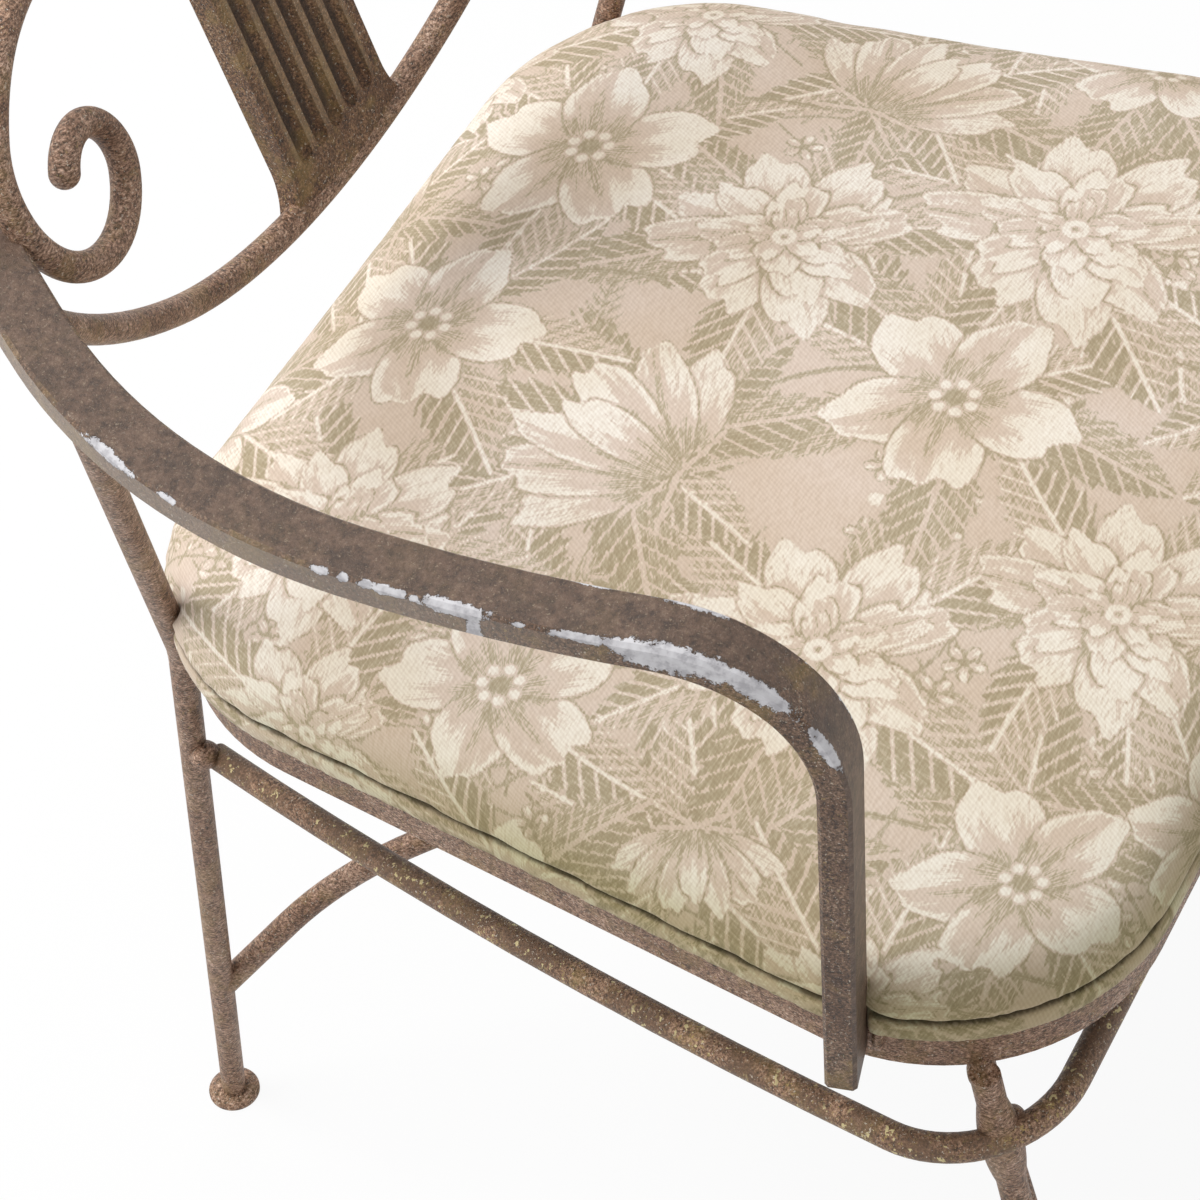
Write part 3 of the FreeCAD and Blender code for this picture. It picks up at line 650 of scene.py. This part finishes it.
class Weaver:
    """Draws the damask's flowers as tone and float direction on points of the cloth.

    Lengths are in millimetres in the cloth's own plane. What is drawn later lies on top.
    """

    def __init__(self, x: Array, y: Array) -> None:
        """Keep the points in order of x and start from a plain ground.

        Args:
            x: First coordinates of the points.
            y: Second coordinates.
        """
        self.order = np.argsort(x)
        self.x = x[self.order]
        self.y = y[self.order]
        self.tone = np.zeros_like(x)
        self.weft = np.stack([self.x, self.y], axis=1)

    def result(self) -> tuple[Array, Array]:
        """Tones and float coordinates in the points' first order."""
        back = np.argsort(self.order)
        return self.tone[back], self.weft[back]

    def local(self, at: Spot, reach: float) -> tuple[Array, Array, Array]:
        """Points near a spot, in its own turned axes.

        Args:
            at: Origin and direction of the axes.
            reach: Radius of interest.

        Returns:
            Indices and the two local coordinates.
        """
        low, high = np.searchsorted(self.x, (at.x - reach, at.x + reach))
        dx = self.x[low:high] - at.x
        dy = self.y[low:high] - at.y
        near = np.nonzero(dx * dx + dy * dy < reach * reach)[0]
        c, s = cos(radians(at.turn)), sin(radians(at.turn))
        return near + low, dx[near] * c + dy[near] * s, dy[near] * c - dx[near] * s

    def lay(self, index: Array, inside: Array, tone: Any, along: Array, across: Array) -> None:
        """Weave a shape over what is there.

        Args:
            index: Points that the shape may cover.
            inside: Signed distance, positive inside.
            tone: Tone of the shape, or of each point.
            along: Coordinate along the floats.
            across: Coordinate across the floats.
        """
        cover = ease(inside, -0.9, 0.9)
        self.tone[index] = self.tone[index] * (1.0 - cover) + tone * cover
        hit = inside > 0.0
        self.weft[index[hit]] = np.stack([along[hit], across[hit]], axis=1)

    def petal(self, at: Spot, length: float, width: float, bright: float, seed: float,
              base: float = -0.75, notch: float = 0.08) -> None:
        """One petal with a frilled end, dark at its root and ivory towards its edge.

        Args:
            at: Root of the petal.
            length: Length.
            width: Greatest width.
            bright: Tone near the edge.
            seed: Phase of the frill.
            base: Tone near the root.
            notch: Depth of the frill, as a share.
        """
        index, u, v = self.local(at, length * 1.15)
        s = np.clip(u / length, -0.2, 1.2)
        ripple = v / width
        frill = 1.0 + notch * (np.sin(ripple * 9.0 + seed) + 0.5 * np.sin(ripple * 21.0 + seed * 2))
        outline = 0.5 * width * np.sqrt(np.clip(s, 0.0, 1.0)) ** 0.9
        outline *= np.sqrt(np.clip(1.0 - (np.clip(s, 0.0, 2.0) / frill) ** 3.2, 0.0, 1.0)) * 1.12
        inside = np.where((s > 0.0) & (s < frill), outline - np.abs(v), OUTSIDE)
        edge = np.clip(inside / (0.5 * width), 0.0, 1.0)
        glow = ease(s, 0.20, 0.90) * (0.60 + 0.40 * np.cos(ripple * 7.0 + seed))
        veins = 0.28 * np.cos(v / np.maximum(outline, 2.0) * 10.0 + seed)
        tone = base + (bright - base) * np.clip(glow * 1.2 + 0.18 + veins * s, 0.0, 1.0)
        lit = ease(edge, 0.45, 0.10) * ease(s, 0.25, 0.5)
        tone = np.maximum(tone, bright * lit + base * (1.0 - lit))
        line = ease(inside, 1.9, 0.9)
        root = u + length * 0.25
        self.lay(index, inside, tone * (1.0 - line) - 0.75 * line, np.hypot(v, root),
                 np.arctan2(v, root) * length)

    def leaf(self, at: Spot, length: float, width: float, bend: float = 0.0,
             teeth: float = 7.0, light: float = 0.85) -> None:
        """Serrated leaf with a midrib and side veins, one half brighter than the other.

        Args:
            at: Stalk end of the leaf.
            length: Length.
            width: Greatest width.
            bend: Sideways sweep of the tip.
            teeth: Teeth on each side.
            light: Tone of the veins and lit half.
        """
        index, u, v = self.local(at, length * 1.25)
        s = np.clip(u / length, -0.1, 1.1)
        v = v - bend * s * s
        half = 0.5 * width * np.sin(np.pi * np.clip(s, 0, 1) ** 0.75) ** 0.8
        half *= 0.80 + 0.26 * np.mod(s * teeth - np.abs(v) / width * 0.8, 1.0)
        inside = np.where((s > 0) & (s < 1), half - np.abs(v), OUTSIDE)
        spacing = length / (teeth + 0.5)
        rib = np.abs(np.mod(u - np.abs(v) * 1.1, spacing) - spacing / 2.0)
        vein = 0.8 * (1.0 - ease(rib, 0.3, 1.5))
        mid = 1.0 - ease(np.abs(v), 0.4, 1.6)
        streak = ease(v, -width * 0.05, width * 0.10) * 0.26
        shine = np.clip(np.maximum(np.maximum(vein, mid), streak), 0, 1)
        self.lay(index, inside, LEAF_TONE + (light - LEAF_TONE) * shine, u, v)

    def stem(self, spots: Sequence[Spot], width: float = 1.6) -> None:
        """Thin dark stem curved through spots.

        Args:
            spots: Places that it passes.
            width: Thickness.
        """
        corners = [np.array((spot.x, spot.y)) for spot in spots]
        corners = [corners[0], *corners, corners[-1]]
        fine = []
        for p0, p1, p2, p3 in zip(corners, corners[1:], corners[2:], corners[3:]):
            for t in np.linspace(0, 1, 7, endpoint=False):
                fine.append(0.5 * (2 * p1 + (p2 - p0) * t + (2 * p0 - 5 * p1 + 4 * p2 - p3) * t * t
                                   + (3 * p1 - p0 - 3 * p2 + p3) * t ** 3))
        fine.append(corners[-1])
        for a, b in zip(fine[:-1], fine[1:]):
            d = b - a
            length = float(np.hypot(*d)) + 1e-6
            at = Spot(a[0], a[1], degrees(atan2(d[1], d[0])))
            index, u, v = self.local(at, length + width * 2)
            past = np.maximum(np.maximum(-u, u - length), 0.0)
            self.lay(index, width / 2.0 - np.hypot(v, past), STEM_TONE, u, v)

    def dot(self, at: Spot, radius: float, tone: float) -> None:
        """Small round spot."""
        index, u, v = self.local(Spot(at.x, at.y), radius + 2.0)
        self.lay(index, radius - np.hypot(u, v), tone, u, v)

    def peony(self, at: Spot, size: float) -> None:
        """Full double bloom of four rings of petals round a ruffled heart.

        Args:
            at: Centre, and the direction of the first petal.
            size: Radius of the bloom.
        """
        rings = ((8, 0.10, 0.92, 0.72, 0.75), (7, 0.02, 0.72, 0.56, 0.95),
                 (6, 0.0, 0.50, 0.44, 0.85), (5, 0.0, 0.32, 0.30, 1.0))
        for ring, (count, root, length, width, bright) in enumerate(rings):
            for k in range(count):
                turned = 360.0 * k / count + ring * 23.0 + 9.0 * sin(k * 2.3 + ring)
                reach = size * length * (1.0 + 0.10 * sin(k * 3.7 + ring * 1.9))
                self.petal(at.ahead(size * root, turned), reach, size * width, bright,
                           seed=k * 1.7 + ring)
        for k in range(9):
            self.dot(at.ahead(size * 0.07, k * 40.0), size * 0.035, 0.9)

    def tulip(self, at: Spot, size: float) -> None:
        """Half-open bloom seen from the side, with folded petals and sepals.

        Args:
            at: Base of the bloom.
            size: Length of the petals.
        """
        for spread, length, width, bright in (
            (-58, 0.92, 0.46, 0.6), (58, 0.92, 0.46, 0.6), (-36, 1.0, 0.52, 0.85),
            (36, 1.0, 0.52, 0.85), (-14, 1.05, 0.46, 1.0), (16, 1.02, 0.46, 0.95),
            (0, 0.86, 0.40, 0.9),
        ):
            self.petal(at.ahead(0.0, spread), size * length, size * width, bright,
                       seed=spread * 0.1, notch=0.05)
        for spread in (-120, -85, 85, 120):
            self.leaf(at.ahead(0.0, spread), size * 0.42, size * 0.14, teeth=3.0, light=0.2)

    def mallow(self, at: Spot, size: float) -> None:
        """Wide five-petalled bloom with a stamen heart.

        Args:
            at: Centre, and the direction of the first petal.
            size: Radius.
        """
        for k in range(5):
            self.petal(at.ahead(0.0, 72.0 * k + 6 * sin(k * 2.0)), size, size * 0.98,
                       0.95, seed=k * 2.1, notch=0.07)
        for k in range(7):
            self.dot(at.ahead(size * 0.16, k * 51.4), size * 0.05, 1.0)
        self.dot(at, size * 0.08, -0.9)

    def blossom(self, at: Spot, size: float) -> None:
        """Tiny five-petalled flower of the sprigs.

        Args:
            at: Centre, and the direction of the first petal.
            size: Radius.
        """
        for k in range(5):
            self.petal(at.ahead(0.0, 72.0 * k), size, size * 0.86, 0.95, seed=k, base=-0.3,
                       notch=0.0)
        self.dot(at, size * 0.22, -0.9)

    def sprig(self, at: Spot, size: float, count: int) -> None:
        """Branching sprig with blossoms, buds and leaflets.

        Args:
            at: Root of the main stalk.
            size: Length of that stalk.
            count: Side shoots.
        """
        tip = at.ahead(size)
        self.stem([at, at.ahead(size * 0.5).ahead(size * 0.08, 90.0), tip], 1.3)
        for k in range(count):
            share = 0.25 + 0.7 * k / max(count - 1, 1)
            side = 1 if k % 2 else -1
            fork = at.ahead(size * share)
            end = fork.ahead(size * 0.28 * (1.15 - 0.4 * share), side * 52.0)
            self.stem([fork, end], 1.1)
            if k % 3 == 2:
                self.leaf(fork.ahead(0.0, side * 72.0), size * 0.22, size * 0.08, teeth=1.0,
                          light=0.1)
                self.dot(end, size * 0.035 + 1.0, 0.8)
            else:
                self.blossom(Spot(end.x, end.y, at.turn + k * 31.0), size * 0.115 + 1.0)
        self.blossom(tip, size * 0.13 + 1.0)

    def fern(self, at: Spot, size: float) -> None:
        """Feathery frond of narrow leaflets.

        Args:
            at: Root of the frond.
            size: Length.
        """
        for k in range(9):
            share = 0.12 + 0.86 * k / 8.0
            for side in (-1, 1):
                leaflet = at.ahead(size * share).ahead(0.0, side * (46 - 18 * share))
                self.leaf(leaflet, size * 0.30 * (1.1 - share), size * 0.055, teeth=1.0,
                          light=-0.4)
        self.stem([at, at.ahead(size)], 1.0)


class Bloom(Enum):
    """Kinds of large flower in the damask."""

    PEONY = "peony"
    MALLOW = "mallow"
    TULIP = "tulip"


PEONY, MALLOW, TULIP = Bloom


@dataclass
class SlipSeat:
    """Upholstered slip seat: a crowned cushion over a fabric-wrapped board edge.

    The cloth lies flat to flat_mm below the top, and is drawn down from there.
    """

    voxel_mm: float = 4.6
    band_voxel_mm: float = 1.8
    pressure: float = 4.0
    cap_mm: float = 4.0
    settling: int = 20
    pitch_mm: float = 53.0
    middle_mm: tuple[float, float] = (0.0, -32.0)
    flat_mm: float = 13.0
    hollow_mm: float = 0.9
    pull_mm: float = 0.1
    ring_slope: float = tan(radians(2.52))
    top_height: float = 0.0
    blooms: tuple[tuple[float, float, float, float, Bloom], ...] = (
        (-206, -214, 46, 40, MALLOW), (-72, -196, 52, 15, PEONY), (68, -222, 50, 250, TULIP),
        (196, -206, 50, 0, PEONY), (-246, -96, 44, 200, TULIP), (-138, -98, 54, 35, PEONY),
        (6, -92, 52, 50, MALLOW), (118, -98, 60, 20, PEONY), (246, -92, 46, 10, MALLOW),
        (-196, 12, 48, 100, MALLOW), (-66, 22, 74, 70, TULIP), (66, 14, 54, 30, PEONY),
        (186, 8, 66, 340, TULIP), (-150, 116, 52, 5, PEONY), (-30, 136, 50, 60, MALLOW),
        (96, 124, 54, 80, MALLOW), (206, 118, 50, 20, PEONY), (30, 214, 60, 80, TULIP),
        (-110, 214, 44, 10, MALLOW), (140, 216, 44, 30, PEONY), (-250, 90, 44, 30, PEONY),
        (-10, -286, 44, 30, PEONY), (-150, -284, 44, 30, MALLOW), (130, -292, 40, 30, MALLOW),
        (-300, -20, 40, 0, MALLOW), (302, -10, 40, 0, PEONY), (296, -180, 40, 0, TULIP),
        (-290, -180, 42, 20, PEONY),
    )

    def swell(self, obj: Object) -> None:
        """Inflate the cushion a little with cloth pressure, capped.

        Args:
            obj: Remeshed cushion.
        """
        before = vertex_array(obj)
        select_only(obj)
        bpy.ops.object.modifier_add(type="CLOTH")
        cloth = obj.modifiers[-1]
        cloth.settings.use_pressure = True
        cloth.settings.uniform_pressure_force = self.pressure
        cloth.settings.effector_weights.gravity = 0.0
        cloth.settings.quality = 5
        for frame_number in range(1, self.settling + 1):
            bpy.context.scene.frame_set(frame_number)
        bpy.ops.object.modifier_apply(modifier=cloth.name)
        bpy.context.scene.frame_set(1)
        step = vertex_array(obj) - before
        length = np.linalg.norm(step, axis=1, keepdims=True)
        step *= np.minimum(1.0, self.cap_mm * MM / np.maximum(length, 1e-9))
        low = self.heights(before)
        hold = ease(low - low.min(), 0.003, 0.010)[:, None]
        set_vertices(obj, before + step * hold)

    def remesh(self, obj: Object, size_mm: float) -> None:
        """Voxel remesh in the seat's own level plane, so that its seam edge stays straight.

        Args:
            obj: Copy of a node.
            size_mm: Voxel size in millimetres.
        """
        level = np.array(Matrix.Rotation(atan(self.ring_slope), 3, "X"))
        set_vertices(obj, vertex_array(obj) @ level.T)
        modify(obj, "REMESH", mode="VOXEL", voxel_size=size_mm * MM)
        set_vertices(obj, vertex_array(obj) @ level)

    def heights(self, points: Array) -> Array:
        """Heights of points above the tilted plane of the seat."""
        return points[:, 2] + self.ring_slope * points[:, 1]

    def cushion(self, cloth: Material) -> Object:
        """Make the cushion.

        Args:
            cloth: Damask material.

        Returns:
            The cushion piece.
        """
        obj = copy_of_node("seat_cushion", "cushion_top")
        self.remesh(obj, self.voxel_mm)
        self.swell(obj)
        modify(obj, "CORRECTIVE_SMOOTH", use_only_smooth=True, iterations=2)
        modify(obj, "SUBSURF", levels=1)
        self.refine_top(obj)
        self.pucker(obj)
        points = vertex_array(obj)
        high = self.heights(points)
        self.top_height = float(high.max())
        # painted shade just above the cushion's lower edge, at the seam
        self.weave(obj, 0.8 * ease(high - high.min(), 0.0026, 0.0008))
        coat(obj, cloth)
        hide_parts("seat_cushion")
        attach(obj, BODY)
        return obj

    def refine_top(self, obj: Object) -> None:
        """Subdivide the faces that show, so that the flowers are drawn finely.

        Args:
            obj: Cushion.
        """
        for polygon in obj.data.polygons:
            polygon.select = polygon.normal.z > -0.8
        select_only(obj)
        bpy.ops.object.mode_set(mode="EDIT")
        bpy.ops.mesh.select_mode(type="FACE")
        bpy.ops.mesh.subdivide(number_cuts=1, smoothness=0.0)
        bpy.ops.object.mode_set(mode="OBJECT")

    def pucker(self, obj: Object) -> None:
        """Slight unevenness of the stuffing and small pulls of the cloth at the seam.

        Args:
            obj: Cushion.
        """
        points = vertex_array(obj)
        x, y = points[:, 0], points[:, 1]
        wave = np.sin(x * 21.0 + 2.0 * np.sin(y * 13.0))
        wave = (wave + np.sin(y * 27.0 + 1.7 * np.sin(x * 17.0))) * 0.5
        high = self.heights(points)
        high -= high.min()
        lift = ease(high, 0.006, 0.03)
        around = np.arctan2(y + 0.03, x)
        pulls = np.sin(around * 46.0 + 2.0 * np.sin(around * 9.0)) * ease(high, 0.0, 0.004)
        pulls *= ease(high, 0.022, 0.006)
        lift = wave * lift * self.hollow_mm + pulls * self.pull_mm
        set_vertices(obj, points + vertex_array(obj, "normal") * lift[:, None] * MM)

    def weave(self, obj: Object, seam: Array) -> None:
        """Draw the damask on the points of the cushion or of the band.

        Args:
            obj: Piece that gets the pattern.
            seam: Share of the painted shade along the stitched join at each point.
        """
        points = vertex_array(obj) * PER_METRE
        high = self.heights(points)
        out = points[:, :2] - self.middle_mm
        far = np.linalg.norm(out, axis=1, keepdims=True)
        below = self.top_height * PER_METRE - high
        drop = np.clip(below - self.flat_mm, 0.0, None)
        flat = points[:, :2] + out / np.maximum(far, 1e-6) * drop[:, None] * 0.9
        x, y = flat[:, 0], flat[:, 1]
        weaver = Weaver(x, y)
        self.garden(weaver)
        tone, weft = weaver.result()
        # rim: a green-grey tint that grows on the cushion's sides and towards its near corner
        side = ease(below, 12.0, 40.0)
        near = ease(-(x + y * 0.7), 60.0, 300.0)
        rim = np.clip(side * (0.15 + 0.55 * near) + near * 0.12, 0.0, 1.0)
        level = np.zeros_like(x)
        lay = np.column_stack([x * MM, y * MM, level])
        weft = np.column_stack([weft * MM, level])
        for name, values in (("tone", tone), ("weft", weft), ("lay", lay), ("seam", seam),
                             ("rim", rim)):
            put_attribute(obj, name, values)

    def garden(self, w: Weaver) -> None:
        """Lay out fronds, sprigs, leaves and blooms over the whole cloth.

        Args:
            w: Weaver of the piece.
        """
        chance = Random(11)
        filler = []
        for row in range(11):
            for column in range(13):
                x = -318.0 + column * self.pitch_mm + (row % 2) * 26.0 + chance.uniform(-9, 9)
                y = -310.0 + row * self.pitch_mm + chance.uniform(-9, 9)
                filler.append((Spot(x, y, chance.uniform(0, 360)), chance.randrange(3)))
        for spot, kind in filler:
            if kind == 0:
                w.fern(spot, 62)
        for spot, kind in filler:
            if kind == 1:
                w.sprig(spot, 74, 6)
            elif kind == 2:
                w.leaf(spot, 62, 27, chance.uniform(-8, 8))
        for x, y, size, turn, kind in self.blooms:
            corners = ((0.0, 0.0), (0.9, -0.8), (1.1, -1.7))
            w.stem([Spot(x + size * a, y + size * b) for a, b in corners], 2.6)
            leaves, root = (7, 0.25) if kind is TULIP else (6, 0.55)
            for k in range(leaves):
                turned = 360.0 * (k + 0.5) / leaves + chance.uniform(-16, 16)
                length = chance.uniform(58, 80)
                stalk = Spot(x, y, turn).ahead(size * root, turned)
                w.leaf(stalk.ahead(0.0, chance.uniform(-14, 14)), length, length * 0.52,
                       chance.uniform(-9, 9), light=chance.choice((0.25, 0.8, 0.95)))
        for x, y, size, turn, kind in self.blooms:
            spot = Spot(x, y, turn)
            if kind is PEONY:
                w.peony(spot, size)
            elif kind is MALLOW:
                w.mallow(spot, size)
            else:
                w.tulip(spot.ahead(-size * 0.4), size)

    def band(self, cloth: Material) -> Object:
        """Make the fabric-wrapped board edge below the seam.

        Args:
            cloth: Damask material.

        Returns:
            The band piece.
        """
        obj = copy_of_node("cushion_border", "board_band")
        self.remesh(obj, self.band_voxel_mm)
        modify(obj, "CORRECTIVE_SMOOTH", use_only_smooth=True, iterations=8)
        high = self.heights(vertex_array(obj))
        # painted shade just below the band's top edge, at the seam
        self.weave(obj, 0.8 * ease(high.max() - high, 0.0012, 0.0002))
        coat(obj, cloth)
        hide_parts("cushion_border")
        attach(obj, BODY)
        return obj

    def cover(self, cloth: Material) -> Object:
        """Make the dust cover: black cloth stapled flat under the board.

        Args:
            cloth: Cover cloth material.

        Returns:
            The sheet piece.
        """
        obj = copy_of_node("dust_cover", "cover_sheet")
        obj.data.materials.append(cloth)
        points = vertex_array(obj)
        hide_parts("dust_cover")
        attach(obj, BODY)
        return obj


@dataclass(frozen=True)
class Welds:
    """Weld beads where the bars meet: rough lumps under the same paint.

    Those of the left side are listed by place and half sizes in millimetres.
    """

    rough_mm: float = 0.4
    left: tuple[tuple[Triple, Triple], ...] = (
        ((-261.0, -180.0, 423.0), (3.2, 2.6, 7.5)), ((-261.0, -163.5, 423.0), (3.2, 2.6, 7.5)),
        ((-181.0, 179.5, 314.5), (7.4, 6.6, 6.0)), ((-183.0, 173.5, 401.0), (4.5, 5.5, 9.0)),
        ((-246.5, -228.0, 379.0), (7.2, 6.0, 4.6)), ((-246.0, -215.5, 404.0), (6.5, 6.0, 8.0)),
        ((-226.0, 177.5, 667.0), (6.5, 6.5, 4.5)), ((-252.0, 160.0, 654.0), (5.5, 7.5, 4.5)),
        ((-271.5, 134.0, 652.5), (8.0, 8.0, 4.0)), ((-162.5, 210.5, 106.0), (6.6, 5.2, 7.6)),
        ((-246.0, -272.0, 110.0), (6.4, 5.2, 7.6)), ((-43.0, 187.0, 513.5), (6.0, 5.5, 5.5)),
    )

    def build(self, paint: Material) -> Object:
        """Model a rough bead at each joint on both sides, and join them all.

        Args:
            paint: Bronze paint.

        Returns:
            The piece with all beads.
        """
        beads = []
        for (x, y, z), size in self.left:
            for side in (1.0, -1.0):
                bpy.ops.mesh.primitive_uv_sphere_add(segments=16, ring_count=10, radius=MM,
                                                     location=(x * side * MM, y * MM, z * MM))
                obj = bpy.context.active_object
                bpy.ops.object.mode_set(mode="EDIT")
                bpy.ops.mesh.select_all(action="SELECT")
                bpy.ops.transform.resize(value=size)
                bpy.ops.transform.vertex_random(offset=self.rough_mm * MM, uniform=0.3, normal=0.8,
                                                seed=len(beads) + 3)
                bpy.ops.object.mode_set(mode="OBJECT")
                beads.append(obj)
        select_only(beads[0])
        for obj in beads:
            obj.select_set(True)
        bpy.ops.object.join()
        obj = bpy.context.active_object
        obj.name = obj.data.name = "weld_beads"
        bpy.ops.object.transform_apply(location=True, rotation=True, scale=True)
        modify(obj, "SUBSURF", levels=1)
        coat(obj, paint)
        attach(obj, BODY)
        return obj


@dataclass(frozen=True)
class Frame:
    """CAD nodes of the chair, and the finishes of those that don't wear the common paint."""

    special: dict[str, str] = field(default_factory=lambda: {
        "arm_rail_left": "rail", "arm_rail_right": "rail", "crest_rail": "rail",
        "apron_hoop": "hoop", "back_splat": "splat", "seat_board": "plywood",
        "dust_cover": "cloth", "seat_screws": "zinc"})

    def dress(self, nodes: Sequence[str], finishes: dict[str, Material]) -> None:
        """Assign the finishes.

        Args:
            nodes: Names of the CAD nodes.
            finishes: Materials by use.
        """
        for name in nodes:
            finish = finishes[self.special.get(name, "paint")]
            obj = bpy.data.objects[name]
            if not obj.material_slots:
                obj.data.materials.append(finish)
            for slot in obj.material_slots:
                slot.material = finish


@dataclass(frozen=True)
class Studio:
    """Camera of the photograph, white surroundings and soft lamps, in metres and degrees."""

    eye: Triple = (-1.020471, -0.536224, 1.637592)
    yaw: float = -59.0
    pitch: float = 49.21
    roll: float = -5.01
    lens_mm: float = 117.84
    sensor_mm: float = 36.0
    shift: tuple[float, float] = (-0.00947, 0.0218)
    sky_light: float = 0.56
    floor_glow: float = 0.90
    floor_side: float = 60.0
    aim: Triple = (0.0, 0.0, 0.45)
    lamps: tuple[tuple[str, Triple, float, float], ...] = (
        ("key_lamp", (-0.7, 1.5, 2.3), 44.0, 1.5), ("fill_lamp", (1.2, 0.8, 2.2), 10.0, 2.0))

    def camera(self) -> None:
        """Add the camera."""
        a, e, r = (radians(v) for v in (self.yaw, self.pitch, self.roll))
        back = Vector((sin(a) * cos(e), -cos(a) * cos(e), sin(e)))
        right = Vector((cos(a), sin(a), 0.0))
        up = back.cross(right)
        rolled = (right * cos(r) + up * sin(r), up * cos(r) - right * sin(r))
        data = bpy.data.cameras.new("camera")
        data.lens = self.lens_mm
        data.sensor_width = self.sensor_mm
        data.sensor_fit = "HORIZONTAL"
        data.shift_x, data.shift_y = self.shift
        data.clip_end = 50.0
        camera = bpy.data.objects.new("camera", data)
        turn = Matrix((*rolled, back)).transposed().to_4x4()
        camera.matrix_world = Matrix.Translation(Vector(self.eye)) @ turn
        bpy.context.scene.collection.objects.link(camera)
        bpy.context.scene.camera = camera

    def seen(self, graph: Graph) -> Socket:
        """Tell the rays that see from those that only carry light.

        Args:
            graph: Graph of the world or floor.

        Returns:
            1 for camera, glossy and transmission rays, 0 for the others.
        """
        rays = graph.add(RAYS)
        seen = graph.add(LARGER, rays["Is Camera Ray"], rays["Is Glossy Ray"])
        return graph.add(LARGER, seen, rays["Is Transmission Ray"])

    def world(self) -> None:
        """White background, and a softer level for the light that it gives."""
        world = bpy.data.worlds.new("studio")
        bpy.context.scene.world = world
        graph = empty_graph(world)
        extra = graph.add(TIMES, self.seen(graph), 1.0 - self.sky_light)
        strength = graph.add(ADD, extra, self.sky_light)
        graph.add(BACKDROP, graph.add(SKY, WHITE, strength))

    def floor(self) -> None:
        """Pale floor that keeps a faint shadow of the chair."""
        bpy.ops.mesh.primitive_plane_add(size=self.floor_side, location=(0, 0, 0))
        obj = bpy.context.active_object
        obj.name = "floor"
        material = bpy.data.materials.new("pale_floor")
        graph = empty_graph(material)
        share = graph.add(TIMES, self.seen(graph), self.floor_glow)
        matt = graph.add(DIFFUSE, srgb("#F4F4F4"))
        graph.add(SURFACE, graph.add(BLEND, share, matt, graph.add(GLOW, WHITE, 1.0)))
        obj.data.materials.append(material)

    def lamp(self, name: str, place: Triple, watts: float, side: float) -> None:
        """Add a large soft lamp that faces the seat.

        Args:
            name: Name of the lamp.
            place: Position in metres.
            watts: Power.
            side: Side of its square in metres.
        """
        data = bpy.data.lights.new(name, "AREA")
        data.energy = watts
        data.size = side
        obj = bpy.data.objects.new(name, data)
        turn = (Vector(self.aim) - Vector(place)).to_track_quat("-Z", "Y")
        obj.matrix_world = Matrix.Translation(Vector(place)) @ turn.to_matrix().to_4x4()
        bpy.context.scene.collection.objects.link(obj)

    def build(self) -> None:
        """Set the whole stage."""
        self.camera()
        self.world()
        self.floor()
        for lamp in self.lamps:
            self.lamp(*lamp)
        bpy.context.scene.view_settings.view_transform = "Standard"


def main() -> None:
    """Build the dressed armchair on its CAD frame."""
    logging.basicConfig(level=logging.INFO, format="%(name)s: %(message)s")
    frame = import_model()
    nodes = [obj.name for obj in bpy.data.objects if obj.type == "MESH"]
    LOG.info("frame with %d nodes, %d meshes", len(frame["nodes"]), len(nodes))
    finishes = {
        "paint": BronzePaint(),
        "hoop": BronzePaint("flecked_bronze_hoop_paint", skin=Skin.HOOP, warm="#F0E0D2"),
        "splat": BronzePaint("bronze_splat_paint", skin=Skin.SPLAT, warm="#CBB8A0"),
        "rail": BronzePaint("worn_bronze_rail_paint", skin=Skin.RAIL, warm="#C0B4AA"),
        "plywood": PlainFinish("birch_plywood", light="#CBB088", dark="#A98B60", grain_mm=3.0,
                               stretch=0.1),
        "cloth": PlainFinish("black_cover_cloth", light="#242424", dark="#141414", grain_mm=1.0),
        "zinc": PlainFinish("zinc_plated_steel", roughness=0.35, metallic=1.0, light="#B9BAB6",
                            dark="#8F9090", grain_mm=2.0),
    }
    finishes = {use: finish.build() for use, finish in finishes.items()}
    Frame().dress(nodes, finishes)
    seat = SlipSeat()
    damask = DamaskCloth().build()
    for piece in (seat.cushion(damask), seat.band(damask), seat.cover(finishes["cloth"]),
                  Welds().build(finishes["paint"])):
        LOG.info("%s: %d faces", piece.name, len(piece.data.polygons))
    Studio().build()


if __name__ == "__main__":
    main()
